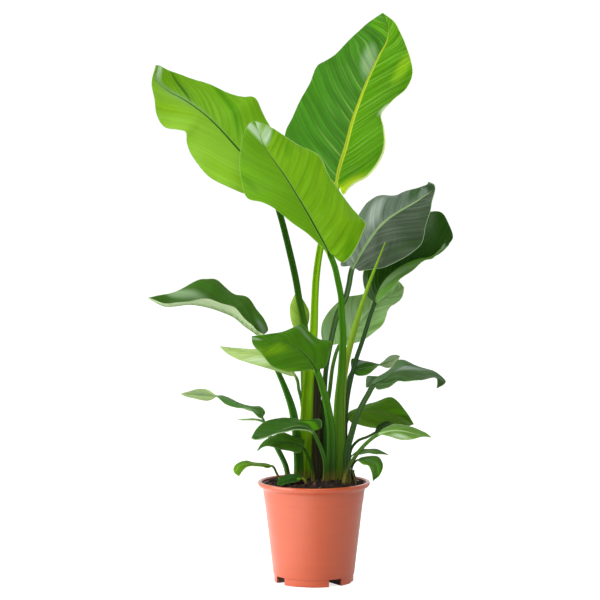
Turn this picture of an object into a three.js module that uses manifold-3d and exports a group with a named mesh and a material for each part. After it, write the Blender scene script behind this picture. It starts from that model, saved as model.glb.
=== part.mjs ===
// A young bird of paradise, a clump of broad leaves on long stalks, in a plastic nursery pot.
// Millimetres, +Z up, the pot's base centre at the origin; the plant is seen from the front (-Y).
// Each leaf is one piece that grew as one: a grooved stalk that widens into a waved blade.

import * as THREE from "three";
import { mergeVertices } from "three/addons/utils/BufferGeometryUtils.js";
import Module from "manifold-3d";

const wasm = await Module();
wasm.setup();

// ---- Driving dimensions of the pot ----
const POT_HEIGHT = 152;
const RIM_RADIUS = 85;
const OPENING_RADIUS = 78.7;
const RIM_HEIGHT = 7;
const FLARE_HEIGHT = 138.5;
const BODY_TOP_RADIUS = 77;
const BODY_FOOT_RADIUS = 61.4;
const FOOT_HEIGHT = 11;
const FOOT_RADIUS = 60.1;
const LEDGE_HEIGHT = 122;
const LEDGE_STEP = 0.6;
const WALL = 1.5;
const FLOOR = 1.8;
const POT_SEGMENTS = 40;

// Four drainage channels run in under the floor from notches in the foot, a quarter turn apart, and
// four shallow notches stand between them. Angles are in degrees from the front, towards +X.
const CHANNEL = { first: 32.3, width: 22, height: FOOT_HEIGHT, inner: 18 };
const SHALLOW_NOTCH = { first: -13.9, width: 18, height: 1.6, inner: 57.7 };
const DRAIN_HOLE_RADIUS = 4;
const DRAIN_HOLE_REACH = 47;

// ---- Driving dimensions of the soil ----
const CLEARANCE = 0.3;
const SOIL_EDGE_HEIGHT = 145.5;
const SOIL_HEAP = 9;
const SOIL_ROUGHNESS = 1.1;
const SOIL_RINGS = 7;
const SOIL_SECTORS = 36;
const HOLE_FLOOR_HEIGHT = 133.7;
const HOLE_CLEARANCE = 0.7;
const PEAT_LUMP = { x: 58, y: 32, height: 164, size: 8 };

// ---- Driving dimensions of the leaves ----
const STALK_FOOT_HEIGHT = 134;
const BLADE_THICKNESS = 0.8;
const RIB_DEPTH_SHARE = 0.6;
const STALK_DEPTH_SHARE = 0.7;
const BLADE_PUFF = 0.06;

// How finely a leaf is divided: rings on the stalk, stations on the blade, columns on each half.
const LARGE = { stalkRings: 8, stations: 16, columns: 4 };
const MEDIUM = { stalkRings: 7, stations: 12, columns: 3 };
const SMALL = { stalkRings: 5, stations: 9, columns: 2 };

// Leaf points are read as [x, height, y] on a sheet square to the line of sight through the pot's
// axis. The last number is the true depth: it slides the point along the line of sight, so that
// the front view stays as read whatever the depth is.
const EYE = new THREE.Vector3(-21, -3080, 588);
const LOOK_DOWN = THREE.MathUtils.degToRad(3);
const SHEET_DISTANCE = 3084;
const LOOK = new THREE.Vector3(0, Math.cos(LOOK_DOWN), -Math.sin(LOOK_DOWN));
const SHEET_UP = new THREE.Vector3(0, Math.sin(LOOK_DOWN), Math.cos(LOOK_DOWN));
const SHEET_CENTRE = EYE.clone().addScaledVector(LOOK, SHEET_DISTANCE);

// ---- The leaves ----
// foot: where the stalk stands in the soil, [x, y]. widths: of the stalk, from foot to blade.
// stalk, rib: the middle line. left, right: the margins, from the blade's base to its tip, as
// seen on the upper side with the tip pointing up.
// wave: [height, count] of the ripple along the margins.
const LEAVES = [
  {
    name: "leaf_top_left",
    colour: 0x86b93a,
    foot: [-4, 18],
    widths: [13, 12, 11, 11, 10],
    wave: [1.5, 5],
    detail: LARGE,
    stalk: [
      [-4, 246, 22], [-7, 306, 24], [-10, 351, 27], [-13, 381, 30], [-22, 427, 37],
      [-27, 457, 42], [-39, 510, 51], [-51, 556, 57],
    ],
    rib: [
      [-62, 588, 60], [-87, 626, 62], [-113, 653, 64], [-149, 692, 66], [-172, 712, 66],
      [-195, 728, 64], [-225, 745, 58], [-240, 760, 50], [-238, 781, 40],
    ],
    left: [
      [-81, 587, 50], [-106, 587, 40], [-139, 602, 32], [-164, 617, 30], [-184, 645, 30],
      [-192, 665, 33], [-194, 679, 35], [-205, 683, 36], [-225, 688, 34], [-238, 707, 32],
      [-241, 731, 32], [-244, 762, 36],
    ],
    right: [
      [-51, 615, 74], [-56, 653, 83], [-60, 677, 88], [-68, 692, 92], [-78, 712, 97],
      [-87, 729, 99], [-93, 733, 99.5], [-106, 733, 100], [-127, 739, 98], [-164, 754, 92],
      [-195, 765, 82], [-217, 772, 68], [-232, 780, 52],
    ],
  },
  {
    name: "leaf_top_right",
    colour: 0x5e9b35,
    foot: [-18, 5],
    widths: [28, 26, 21, 19.5, 13, 11.5, 11, 11, 12],
    wave: [1.5, 6],
    detail: LARGE,
    stalk: [
      [-17, 182, 5], [-13, 215, 5], [-10, 261, 6], [-7, 313, 8], [-1, 369, 13], [3, 457, 24],
      [9, 502, 32], [21, 555, 42],
    ],
    rib: [
      [33, 596, 48], [40, 630, 58], [49, 660, 68], [58, 695, 78], [68, 724, 88], [79, 753, 98],
      [89, 775, 106], [100, 798, 113], [110, 817, 119], [112, 837, 124], [104, 860, 128],
    ],
    left: [
      [6, 605, 62], [-24, 630, 76], [-42, 660, 88], [-43, 679, 94], [-32, 704, 102],
      [-19, 730, 108], [-6, 755, 113], [5, 779, 118], [17, 787, 121], [30, 796, 124],
      [45, 810, 127], [62, 827, 129], [80, 844, 131], [92, 852, 131],
    ],
    right: [
      [44, 582, 40], [53, 594, 41], [65, 604, 42], [80, 612, 44], [94, 626, 47],
      [104, 645, 52], [108, 664, 58], [106, 686, 66], [102, 707, 74], [118, 726, 80],
      [139, 745, 88], [149, 768, 95], [147, 786, 100], [139, 811, 108], [131, 830, 115],
      [122, 846, 122],
    ],
  },
  {
    name: "leaf_front_large",
    colour: 0x84bc3c,
    foot: [40, -2],
    widths: [19, 19, 12.5, 10, 9],
    wave: [1.2, 5],
    detail: LARGE,
    stalk: [
      [39, 200, -4], [38, 268, -10], [42, 321, -18], [44, 374, -34], [42, 404, -40],
      [41, 431, -46], [36, 457, -52], [32, 475, -56],
    ],
    rib: [
      [26, 491, -60], [6, 529, -62], [-9, 556, -60], [-26, 585, -54], [-44, 614, -44],
      [-59, 635, -32], [-75, 659, -18], [-89, 697, -4],
    ],
    left: [
      [15, 504, -66], [-6, 523, -72], [-26, 538, -76], [-51, 558, -80], [-78, 574, -78],
      [-101, 581, -70], [-109, 605, -58], [-112, 638, -42], [-107, 673, -26], [-98, 692, -10],
    ],
    right: [
      [41, 482, -54], [54, 491, -50], [67, 511, -42], [74, 529, -32], [78, 541, -24],
      [71, 550, -18], [54, 571, -12], [36, 593, -4], [22, 617, 0], [15, 633, 2], [6, 645, 2],
      [-21, 660, 2], [-44, 674, 0], [-72, 691, -2],
    ],
  },
  {
    name: "leaf_grey_green",
    colour: 0x5c7658,
    foot: [14, 10],
    widths: [12, 9, 8, 9, 9],
    wave: [1, 5],
    detail: MEDIUM,
    stalk: [
      [11, 215, 14], [15, 276, 14], [18, 321, 12], [23, 351, 10], [29, 381, 8], [36, 408, 6],
      [47, 428, 5], [53, 451, 6],
    ],
    rib: [
      [57, 473, 6], [65, 487, 5], [74, 502, 3], [85, 519, -3], [97, 535, -9], [112, 549, -15],
      [130, 561, -20], [151, 573, -26], [169, 585, -32], [180, 593, -36], [181, 599, -40],
      [177, 602, -44], [172, 604, -47],
    ],
    left: [
      [40, 479, 13], [44, 491, 19], [54, 519, 27], [67, 552, 30], [77, 571, 29], [86, 578, 25],
      [100, 584, 20], [122, 585, 8], [137, 590, -4], [156, 596, -20], [166, 599, -34],
      [171, 602, -42],
    ],
    right: [
      [67, 470, 0], [88, 473, -10], [107, 476, -18], [130, 487, -26], [148, 498, -32],
      [162, 511, -36], [169, 538, -38], [175, 558, -39], [178, 574, -40], [182, 587, -42],
      [183, 596, -46], [178, 602, -49],
    ],
  },
  {
    name: "leaf_dark_rear",
    colour: 0x2c5219,
    foot: [50, 22],
    widths: [10, 8, 8, 7],
    wave: [1, 4],
    detail: MEDIUM,
    stalk: [
      [47, 230, 22], [50, 276, 24], [56, 309, 26], [64, 339, 28], [71, 359, 30], [79, 384, 32],
      [85, 404, 33],
    ],
    rib: [
      [91, 421, 35], [95, 437, 39], [104, 454, 46], [116, 467, 53], [133, 479, 60],
      [154, 487, 66], [172, 490, 72], [190, 498, 78], [204, 511, 84],
    ],
    left: [
      [80, 433, 46], [74, 466, 58], [94, 502, 72], [130, 540, 84], [168, 558, 92],
      [192, 559, 95], [204, 541, 95], [210, 520, 92],
    ],
    right: [
      [95, 421, 25], [109, 436, 20], [128, 455, 22], [150, 473, 30], [168, 486, 42],
      [180, 491, 54], [190, 502, 66], [199, 507, 76],
    ],
  },
  {
    name: "leaf_left_arching",
    colour: 0x5b7f52,
    foot: [-22, -10],
    widths: [19, 18.5, 15, 10, 7],
    wave: [1.2, 5],
    detail: MEDIUM,
    stalk: [[-23, 200, -10], [-31, 258, -8], [-42, 291, -4], [-55, 321, 0], [-68, 348, 4]],
    rib: [
      [-77, 368, 6], [-87, 378, 5], [-104, 390, 0], [-119, 402, -6], [-142, 412, -16],
      [-164, 418, -26], [-187, 421, -34], [-225, 418, -46], [-250, 430, -56],
    ],
    left: [
      [-75, 375, -6], [-86, 381, -14], [-99, 393, -26], [-112, 408, -38], [-127, 418, -50],
      [-149, 425, -60], [-172, 428, -64], [-202, 422, -66], [-225, 422, -62],
    ],
    right: [
      [-69, 378, 10], [-75, 398, 14], [-86, 413, 16], [-101, 431, 16], [-119, 436, 15],
      [-134, 446, 12], [-149, 458, 6], [-161, 459, 0], [-172, 458, -5], [-195, 446, -16],
      [-220, 436, -30], [-238, 433, -44],
    ],
  },
  {
    name: "leaf_front_middle",
    colour: 0x4f8534,
    foot: [26, -14],
    widths: [18, 17, 13, 10],
    wave: [1, 4],
    detail: MEDIUM,
    stalk: [[27, 185, -17], [26, 230, -22], [21, 264, -32], [15, 288, -44]],
    rib: [
      [5, 318, -58], [-4, 333, -66], [-16, 347, -74], [-29, 356, -82], [-51, 365, -92],
      [-69, 365, -98], [-94, 372, -104],
    ],
    left: [
      [-4, 322, -66], [-21, 319, -80], [-44, 319, -98], [-63, 327, -110], [-81, 347, -116],
      [-93, 362, -112],
    ],
    right: [
      [15, 324, -52], [24, 348, -44], [27, 363, -40], [6, 368, -44], [-7, 380, -50],
      [-18, 390, -56], [-36, 383, -68], [-57, 377, -84], [-78, 374, -98],
    ],
  },
  {
    name: "leaf_left_pale",
    colour: 0xb5cb8b,
    foot: [-16, 24],
    widths: [7, 5],
    wave: [0.8, 3],
    detail: SMALL,
    stalk: [[-14, 215, 23], [-16, 249, 22], [-19, 276, 18], [-23, 292, 8]],
    rib: [[-27, 310, -10], [-51, 333, -15], [-81, 345, -12], [-112, 348, -6], [-143, 357, 4]],
    left: [[-36, 333, -10], [-66, 351, -10], [-99, 353, -4], [-127, 355, 2]],
    right: [[-36, 312, -14], [-66, 322, -20], [-89, 329, -18], [-112, 336, -10], [-130, 345, -2]],
  },
  {
    name: "leaf_left_twisted",
    colour: 0x6b9150,
    foot: [-38, 4],
    widths: [14, 12, 7],
    wave: [1, 3],
    detail: SMALL,
    stalk: [[-42, 178, 2], [-53, 200, 0], [-69, 227, -3]],
    rib: [
      [-76, 246, -5], [-84, 258, -8], [-101, 264, -12], [-122, 272, -20], [-146, 282, -28],
      [-172, 284, -38], [-201, 285, -48],
    ],
    left: [
      [-83, 249, -12], [-96, 261, -24], [-115, 263, -33], [-133, 270, -39], [-146, 280, -43],
      [-160, 291, -46], [-175, 293, -49], [-188, 289, -51],
    ],
    right: [
      [-74, 258, 4], [-81, 265, 8], [-93, 266, 9], [-112, 271, 8], [-128, 278, 5],
      [-143, 282, 0], [-157, 276, -6], [-172, 276, -14], [-188, 279, -28],
    ],
  },
  {
    name: "leaf_left_thin",
    colour: 0x9db87a,
    foot: [-40, 21],
    widths: [4, 3],
    wave: [0.8, 3],
    detail: SMALL,
    stalk: [[-40, 176, 20], [-50, 200, 18], [-66, 224, 18]],
    rib: [[-75, 241, 19], [-83, 246, 21], [-96, 246, 25], [-116, 246, 28]],
    left: [[-80, 243, 15], [-93, 245, 18], [-106, 245, 22]],
    right: [[-80, 246, 24], [-93, 248, 31], [-106, 247, 31]],
  },
  {
    name: "leaf_front_low",
    colour: 0x4c7f45,
    foot: [17, -24],
    widths: [10, 8, 6],
    wave: [0.8, 3],
    detail: SMALL,
    stalk: [[17, 182, -28], [12, 200, -32], [6, 214, -38]],
    rib: [
      [0, 226, -42], [-13, 235, -50], [-30, 236, -58], [-51, 229, -66], [-74, 220, -72],
      [-95, 218, -74],
    ],
    left: [
      [-9, 229, -54], [-21, 230, -66], [-36, 229, -76], [-57, 224, -84], [-78, 217, -84],
      [-89, 215, -80],
    ],
    right: [
      [11, 235, -36], [9, 246, -28], [-9, 246, -26], [-27, 247, -30], [-51, 249, -40],
      [-72, 244, -52], [-87, 232, -64],
    ],
  },
  {
    name: "leaf_front_dark",
    colour: 0x3c6d2f,
    foot: [-1, -22],
    widths: [8, 6, 5],
    wave: [0.8, 3],
    detail: SMALL,
    stalk: [[-3, 173, -24], [-7, 185, -26]],
    rib: [[-15, 202, -28], [-33, 211, -32], [-51, 212, -36], [-69, 211, -42], [-86, 199, -46]],
    left: [[-23, 196, -36], [-39, 199, -42], [-57, 203, -48], [-72, 206, -48]],
    right: [[-15, 215, -20], [-26, 220, -18], [-47, 226, -20], [-66, 220, -30], [-80, 209, -40]],
  },
  {
    name: "leaf_bottom_left",
    colour: 0x7cae3c,
    foot: [-51, -6],
    widths: [6, 5.5],
    wave: [0.8, 3],
    detail: SMALL,
    stalk: [[-56, 166, -8]],
    rib: [
      [-62, 176, -10], [-77, 178, -14], [-92, 179, -18], [-106, 178, -22], [-115, 173, -26],
      [-116, 166, -30], [-113, 160, -32],
    ],
    left: [
      [-69, 173, -17], [-80, 175, -21], [-92, 176, -24], [-101, 174, -27], [-107, 169, -30],
      [-111, 163, -32],
    ],
    right: [
      [-69, 179, -4], [-80, 181, -6], [-92, 182, -8], [-102, 184, -10], [-113, 182, -14],
      [-120, 176, -20], [-121, 167, -27],
    ],
  },
  {
    name: "leaf_on_soil",
    colour: 0x2f6b1e,
    foot: [-12, -36],
    widths: [6, 5],
    wave: [0.8, 3],
    detail: SMALL,
    stalk: [[-13, 155, -36]],
    rib: [[-18, 158, -36], [-29, 160, -38], [-42, 156, -42], [-56, 149, -44]],
    left: [[-24, 153, -42], [-39, 150, -48], [-51, 147, -48]],
    right: [[-23, 164, -26], [-36, 164, -28], [-50, 160, -34]],
  },
  {
    name: "leaf_right_upper",
    colour: 0x557a4c,
    foot: [34, 36],
    widths: [7, 5],
    wave: [0.8, 3],
    detail: SMALL,
    stalk: [[38, 215, 38], [48, 276, 42]],
    rib: [
      [57, 318, 40], [73, 322, 38], [88, 326, 36], [101, 330, 33], [116, 335, 29],
      [130, 342, 26],
    ],
    left: [
      [57, 338, 48], [73, 335, 52], [88, 333, 50], [100, 327, 45], [112, 324, 38],
      [124, 330, 30],
    ],
    right: [
      [67, 312, 32], [80, 314, 26], [92, 322, 22], [103, 333, 20], [115, 342, 20],
      [124, 344, 22],
    ],
  },
  {
    name: "leaf_right_arching",
    colour: 0x45683a,
    foot: [50, -15],
    widths: [12, 12, 9.5, 9],
    wave: [1, 4],
    detail: SMALL,
    stalk: [[50, 200, -16], [56, 223, -18], [64, 250, -22], [74, 271, -25], [82, 285, -27]],
    rib: [
      [89, 297, -30], [107, 307, -36], [130, 319, -44], [160, 316, -54], [181, 312, -62],
      [195, 305, -68], [194, 300, -71], [185, 294, -74],
    ],
    left: [
      [79, 294, -24], [78, 304, -20], [80, 312, -18], [95, 310, -16], [115, 324, -18],
      [128, 336, -22], [153, 329, -28], [172, 322, -40], [187, 316, -54], [199, 304, -66],
      [195, 298, -73],
    ],
    right: [
      [97, 291, -38], [110, 294, -48], [119, 298, -55], [128, 304, -62], [140, 304, -68],
      [151, 304, -73], [162, 306, -77], [171, 308, -80], [184, 308, -80], [186, 301, -79],
    ],
  },
  {
    name: "leaf_right_broad",
    colour: 0x6e9b4b,
    foot: [46, 36],
    widths: [7, 5],
    wave: [0.8, 3],
    detail: SMALL,
    stalk: [[47, 170, 35], [47, 215, 33]],
    rib: [
      [50, 244, 30], [65, 258, 32], [85, 259, 36], [107, 258, 42], [130, 250, 48],
      [151, 239, 52],
    ],
    left: [
      [53, 258, 40], [70, 265, 50], [92, 273, 60], [115, 280, 68], [127, 273, 66],
      [139, 259, 60],
    ],
    right: [[64, 239, 20], [82, 235, 18], [103, 232, 20], [124, 233, 26], [139, 235, 36]],
  },
  {
    name: "leaf_right_low",
    colour: 0x7fa65b,
    foot: [44, -27],
    widths: [10, 9, 7],
    wave: [0.8, 3],
    detail: SMALL,
    stalk: [[50, 170, -28], [62, 191, -32], [74, 206, -36], [86, 217, -40]],
    rib: [[97, 224, -44], [115, 229, -52], [133, 229, -60], [154, 224, -68], [177, 220, -76]],
    left: [[104, 233, -34], [118, 238, -36], [133, 239, -42], [153, 233, -52], [168, 227, -66]],
    right: [[115, 220, -58], [133, 215, -70], [151, 217, -80], [166, 220, -82]],
  },
  {
    name: "leaf_right_short",
    colour: 0x2a5119,
    foot: [54, -3],
    widths: [6, 5],
    wave: [0.8, 3],
    detail: SMALL,
    stalk: [[53, 182, -3], [56, 202, -1], [67, 215, 1], [80, 220, 2]],
    rib: [[91, 226, 3], [100, 233, 4], [109, 239, 4], [119, 241, 4]],
    left: [[97, 238, 10], [109, 244, 10]],
    right: [[101, 226, -4], [113, 235, -4]],
  },
  {
    name: "leaf_right_small",
    colour: 0x6d9556,
    foot: [56, 14],
    widths: [4, 3],
    wave: [0.8, 3],
    detail: SMALL,
    stalk: [[53, 176, 13]],
    rib: [[57, 192, 10], [70, 196, 8], [88, 200, 6], [100, 197, 4], [113, 193, 2]],
    left: [[65, 199, 16], [80, 202, 18], [97, 201, 12]],
    right: [[67, 193, 2], [80, 195, -3], [95, 194, -4]],
  },
  {
    name: "leaf_rear_yellow",
    colour: 0xa3c84a,
    foot: [-10, 31],
    widths: [7, 5],
    wave: [0.8, 3],
    detail: SMALL,
    stalk: [[-12, 215, 34], [-16, 276, 40], [-18, 336, 45]],
    rib: [[-18, 374, 48], [-21, 396, 52], [-23, 418, 56], [-27, 439, 60]],
    left: [[-30, 384, 50], [-36, 404, 54], [-35, 422, 60]],
    right: [[-9, 389, 52], [-7, 408, 56], [-15, 425, 60]],
  },
  {
    name: "leaf_rear_broad",
    colour: 0x9dbe74,
    foot: [18, 28],
    widths: [8, 6],
    wave: [1.2, 4],
    detail: MEDIUM,
    stalk: [[18, 246, 30], [24, 291, 34], [29, 329, 38]],
    rib: [
      [38, 357, 44], [54, 374, 54], [73, 398, 68], [86, 413, 78], [107, 430, 90],
      [136, 446, 104],
    ],
    left: [[57, 360, 42], [82, 371, 46], [103, 389, 54], [115, 415, 64], [133, 430, 80]],
    right: [
      [15, 363, 52], [11, 384, 62], [21, 408, 74], [47, 430, 86], [77, 437, 96],
      [107, 451, 104], [127, 455, 108],
    ],
  },
  {
    name: "leaf_over_rim",
    colour: 0x557f42,
    foot: [62, -20],
    widths: [5, 4],
    wave: [0.8, 3],
    detail: SMALL,
    stalk: [[57, 173, -24]],
    rib: [[65, 185, -26], [79, 185, -30], [91, 181, -36], [95, 170, -42], [89, 153, -48]],
    left: [[73, 190, -18], [85, 191, -18], [98, 190, -24], [104, 178, -32], [100, 163, -42]],
    right: [[73, 179, -36], [82, 176, -42], [86, 169, -46], [88, 160, -50]],
  },
  {
    name: "leaf_rolled_spear",
    colour: 0xa5c443,
    foot: [45, 12],
    widths: [9, 9, 9, 9, 9.5, 9, 6.5, 4.5, 1.8],
    detail: MEDIUM,
    rolled: true,
    stalk: [
      [43, 215, 9], [43, 261, 5], [45, 306, -2], [49, 333, -8], [55, 359, -12], [66, 399, -18],
      [80, 442, -24], [96, 484, -28], [108, 514, -30],
    ],
  },
  {
    name: "dried_sheath",
    colour: 0x4f3b22,
    foot: [6, -4],
    widths: [16, 16, 15, 13, 10, 3],
    detail: SMALL,
    stalk: [[5, 215, -4], [5, 261, -4], [5, 298, -4], [6, 333, -3], [8, 354, -2]],
  },
];

// ---- Shared helpers ----

function sightPoint([x, height, y]) {
  const onSheet = SHEET_CENTRE.clone()
    .add(new THREE.Vector3(x - SHEET_CENTRE.x, 0, 0))
    .addScaledVector(SHEET_UP, height - SHEET_CENTRE.z);
  const share = (y - EYE.y) / (onSheet.y - EYE.y);
  return EYE.clone().lerp(onSheet, share);
}

function smoothCurve(points) {
  const curve = new THREE.CatmullRomCurve3(points, false, "centripetal");
  curve.arcLengthDivisions = 24 * points.length;
  return curve;
}

// A value read off an evenly spaced list at share 0..1 of its length.
function readAlong(values, share) {
  const place = THREE.MathUtils.clamp(share, 0, 1) * (values.length - 1);
  const index = Math.min(Math.floor(place), values.length - 2);
  return THREE.MathUtils.lerp(values[index], values[index + 1], place - index);
}

function squareTo(direction, vector) {
  return vector.clone().addScaledVector(direction, -vector.dot(direction)).normalize();
}

function solidFrom(geometry) {
  const bare = geometry.clone();
  bare.deleteAttribute("normal");
  bare.deleteAttribute("uv");
  const merged = mergeVertices(bare, 1e-4);
  const kept = [];
  const corners = merged.index.array;
  for (let i = 0; i < corners.length; i += 3) {
    const [a, b, c] = [corners[i], corners[i + 1], corners[i + 2]];
    if (a !== b && b !== c && c !== a) kept.push(a, b, c);
  }
  return new wasm.Manifold(
    new wasm.Mesh({
      numProp: 3,
      vertProperties: merged.attributes.position.array,
      triVerts: new Uint32Array(kept),
    }),
  );
}

function geometryFrom(solid) {
  const mesh = solid.getMesh();
  const points = [];
  for (let i = 0; i < mesh.numVert; i += 1) {
    points.push(...mesh.vertProperties.subarray(i * mesh.numProp, i * mesh.numProp + 3));
  }
  const geometry = new THREE.BufferGeometry();
  geometry.setAttribute("position", new THREE.Float32BufferAttribute(points, 3));
  geometry.setIndex(new THREE.BufferAttribute(mesh.triVerts, 1));
  geometry.computeVertexNormals();
  return geometry;
}

// A solid of revolution about Z from [radius, height] pairs, given upwards along the outside.
function turned(profile, segments) {
  const outline = profile.map(([radius, height]) => new THREE.Vector2(radius, height));
  const geometry = new THREE.LatheGeometry(outline, segments);
  geometry.rotateX(Math.PI / 2);
  return solidFrom(geometry);
}

// An upright block whose plan is part of a ring. Angles are from the front, towards +X.
function ringBlock(inner, outer, middleDegrees, widthDegrees, bottom, top) {
  const middle = THREE.MathUtils.degToRad(middleDegrees - 90);
  const half = THREE.MathUtils.degToRad(widthDegrees) / 2;
  const shape = new THREE.Shape();
  shape.absarc(0, 0, outer, middle - half, middle + half, false);
  shape.absarc(0, 0, inner, middle + half, middle - half, true);
  shape.closePath();
  const geometry = new THREE.ExtrudeGeometry(shape, {
    depth: top - bottom,
    bevelEnabled: false,
    curveSegments: 4,
  });
  geometry.translate(0, 0, bottom);
  return solidFrom(geometry);
}

// An upright box that runs out from the pot's axis, from one reach to past the rim.
function outwardBox(inner, width, degrees, bottom, top) {
  const length = RIM_RADIUS - inner;
  const geometry = new THREE.BoxGeometry(width, length, top - bottom);
  geometry.translate(0, -(inner + length / 2), (top + bottom) / 2);
  geometry.rotateZ(THREE.MathUtils.degToRad(degrees));
  return solidFrom(geometry);
}

function quarterTurns(first) {
  return [0, 90, 180, 270].map((turn) => first + turn);
}

// ---- Pot ----

function potOuterProfile() {
  const slope = (BODY_TOP_RADIUS - BODY_FOOT_RADIUS) / (FLARE_HEIGHT - FOOT_HEIGHT);
  const ledgeRadius = BODY_FOOT_RADIUS + slope * (LEDGE_HEIGHT - FOOT_HEIGHT);
  return [
    [0, 0],
    [FOOT_RADIUS - 0.8, 0],
    [FOOT_RADIUS, 0.8],
    [FOOT_RADIUS + 0.2, FOOT_HEIGHT - 0.8],
    [BODY_FOOT_RADIUS, FOOT_HEIGHT + 0.4],
    [ledgeRadius - LEDGE_STEP, LEDGE_HEIGHT - 0.5],
    [ledgeRadius, LEDGE_HEIGHT],
    [BODY_TOP_RADIUS, FLARE_HEIGHT],
    [BODY_TOP_RADIUS + 0.9, FLARE_HEIGHT + 2.6],
    [RIM_RADIUS - 4, POT_HEIGHT - RIM_HEIGHT - 1.6],
    [RIM_RADIUS - 0.8, POT_HEIGHT - RIM_HEIGHT + 0.9],
    [RIM_RADIUS, POT_HEIGHT - RIM_HEIGHT / 2],
    [RIM_RADIUS - 0.4, POT_HEIGHT - 1.2],
    [RIM_RADIUS - 1.8, POT_HEIGHT],
    [0, POT_HEIGHT],
  ];
}

// The inside of the pot, drawn in by a gap for what fills it.
function potInnerProfile(gap, top) {
  const flareHeight = POT_HEIGHT - RIM_HEIGHT;
  return [
    [0, FLOOR + gap],
    [FOOT_RADIUS - WALL - 1.5 - gap, FLOOR + gap],
    [FOOT_RADIUS - WALL - gap, FLOOR + 1.5 + gap],
    [BODY_FOOT_RADIUS - WALL - gap, FOOT_HEIGHT + 2],
    [BODY_TOP_RADIUS - WALL - gap, flareHeight - 2],
    [OPENING_RADIUS - 1 - gap, flareHeight + 1.2],
    [OPENING_RADIUS - gap, flareHeight + 3],
    [OPENING_RADIUS - gap, Math.min(top, POT_HEIGHT - 1.6)],
    ...(top > POT_HEIGHT ? [[OPENING_RADIUS + 1.6, POT_HEIGHT + 0.1]] : []),
    [0, top],
  ];
}

// The channels reach into the pot as ducts with walls of their own.
function channelDucts(gap) {
  const { first, width, height, inner } = CHANNEL;
  const wall = WALL + gap;
  return quarterTurns(first)
    .map((angle) => outwardBox(inner - wall, width + 2 * wall, angle, -1, height + wall))
    .reduce((all, box) => all.add(box));
}

function buildPot() {
  const inside = turned(potInnerProfile(0, POT_HEIGHT + 2), POT_SEGMENTS).subtract(channelDucts(0));
  let pot = turned(potOuterProfile(), POT_SEGMENTS).subtract(inside);
  for (const angle of quarterTurns(CHANNEL.first)) {
    const { inner, width, height } = CHANNEL;
    pot = pot.subtract(outwardBox(inner, width, angle, -1, height));
    const drain = new THREE.CylinderGeometry(DRAIN_HOLE_RADIUS, DRAIN_HOLE_RADIUS, 4 * WALL, 10);
    drain.rotateX(Math.PI / 2);
    drain.translate(0, -DRAIN_HOLE_REACH, height + WALL / 2);
    drain.rotateZ(THREE.MathUtils.degToRad(angle));
    pot = pot.subtract(solidFrom(drain));
  }
  for (const angle of quarterTurns(SHALLOW_NOTCH.first)) {
    const { inner, width, height } = SHALLOW_NOTCH;
    pot = pot.subtract(ringBlock(inner, RIM_RADIUS, angle, width, -1, height));
  }
  return geometryFrom(pot);
}

// ---- Soil ----

function soilHeight(x, y) {
  const share = Math.min(Math.hypot(x, y) / OPENING_RADIUS, 1);
  const heap = SOIL_HEAP * (1 - share * share) ** 1.2;
  const grain = Math.sin(x / 6.1 + 0.8) * Math.cos(y / 5.3) + Math.sin(x / 3.7 - y / 4.9);
  return SOIL_EDGE_HEIGHT + heap + 0.5 * SOIL_ROUGHNESS * grain * (1 - share ** 4);
}

// The filling without its stalk holes: the pot's inside below a heaped and lumpy top.
function soilBody() {
  const rim = potInnerProfile(CLEARANCE, SOIL_EDGE_HEIGHT);
  const wall = rim.slice(1, -3).concat([[OPENING_RADIUS - 1 - CLEARANCE, SOIL_EDGE_HEIGHT]]);
  const points = [0, 0, FLOOR + CLEARANCE];
  const loops = [];
  const addLoop = (heightAt, radius) => {
    loops.push(points.length / 3);
    for (let sector = 0; sector < SOIL_SECTORS; sector += 1) {
      const angle = (2 * Math.PI * sector) / SOIL_SECTORS;
      const x = radius * Math.cos(angle);
      const y = radius * Math.sin(angle);
      points.push(x, y, heightAt(x, y));
    }
  };
  for (const [radius, height] of wall) addLoop(() => height, radius);
  for (let ring = SOIL_RINGS - 1; ring > 0; ring -= 1) {
    addLoop(soilHeight, ((OPENING_RADIUS - 2) * ring) / SOIL_RINGS);
  }
  const crown = points.length / 3;
  points.push(0, 0, soilHeight(0, 0));
  const faces = [];
  for (let sector = 0; sector < SOIL_SECTORS; sector += 1) {
    const next = (sector + 1) % SOIL_SECTORS;
    faces.push(0, loops[0] + next, loops[0] + sector);
    for (let loop = 0; loop < loops.length - 1; loop += 1) {
      const [low, high] = [loops[loop], loops[loop + 1]];
      faces.push(low + sector, low + next, high + next);
      faces.push(low + sector, high + next, high + sector);
    }
    const last = loops[loops.length - 1];
    faces.push(last + sector, last + next, crown);
  }
  const geometry = new THREE.BufferGeometry();
  geometry.setAttribute("position", new THREE.Float32BufferAttribute(points, 3));
  geometry.setIndex(faces);
  return solidFrom(geometry);
}

function buildSoil(stalkFeet) {
  const lump = new THREE.BoxGeometry(PEAT_LUMP.size, PEAT_LUMP.size * 1.2, 24);
  lump.rotateZ(0.5);
  lump.translate(PEAT_LUMP.x, PEAT_LUMP.y, PEAT_LUMP.height - 12);
  let soil = soilBody().add(solidFrom(lump)).subtract(channelDucts(CLEARANCE));
  for (const foot of stalkFeet) soil = soil.subtract(stalkHole(foot));
  return geometryFrom(soil);
}

// An upright hole a little larger than the stalk that stands in it.
function stalkHole({ outline, centre }) {
  const shape = new THREE.Shape(
    outline.map((point) => {
      const arm = new THREE.Vector2(point.x - centre.x, point.y - centre.y);
      const reach = arm.length() + HOLE_CLEARANCE;
      return arm.setLength(reach).add(new THREE.Vector2(centre.x, centre.y));
    }),
  );
  const geometry = new THREE.ExtrudeGeometry(shape, { depth: 40, bevelEnabled: false });
  geometry.translate(0, 0, HOLE_FLOOR_HEIGHT);
  return solidFrom(geometry);
}

// ---- Leaves ----

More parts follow.
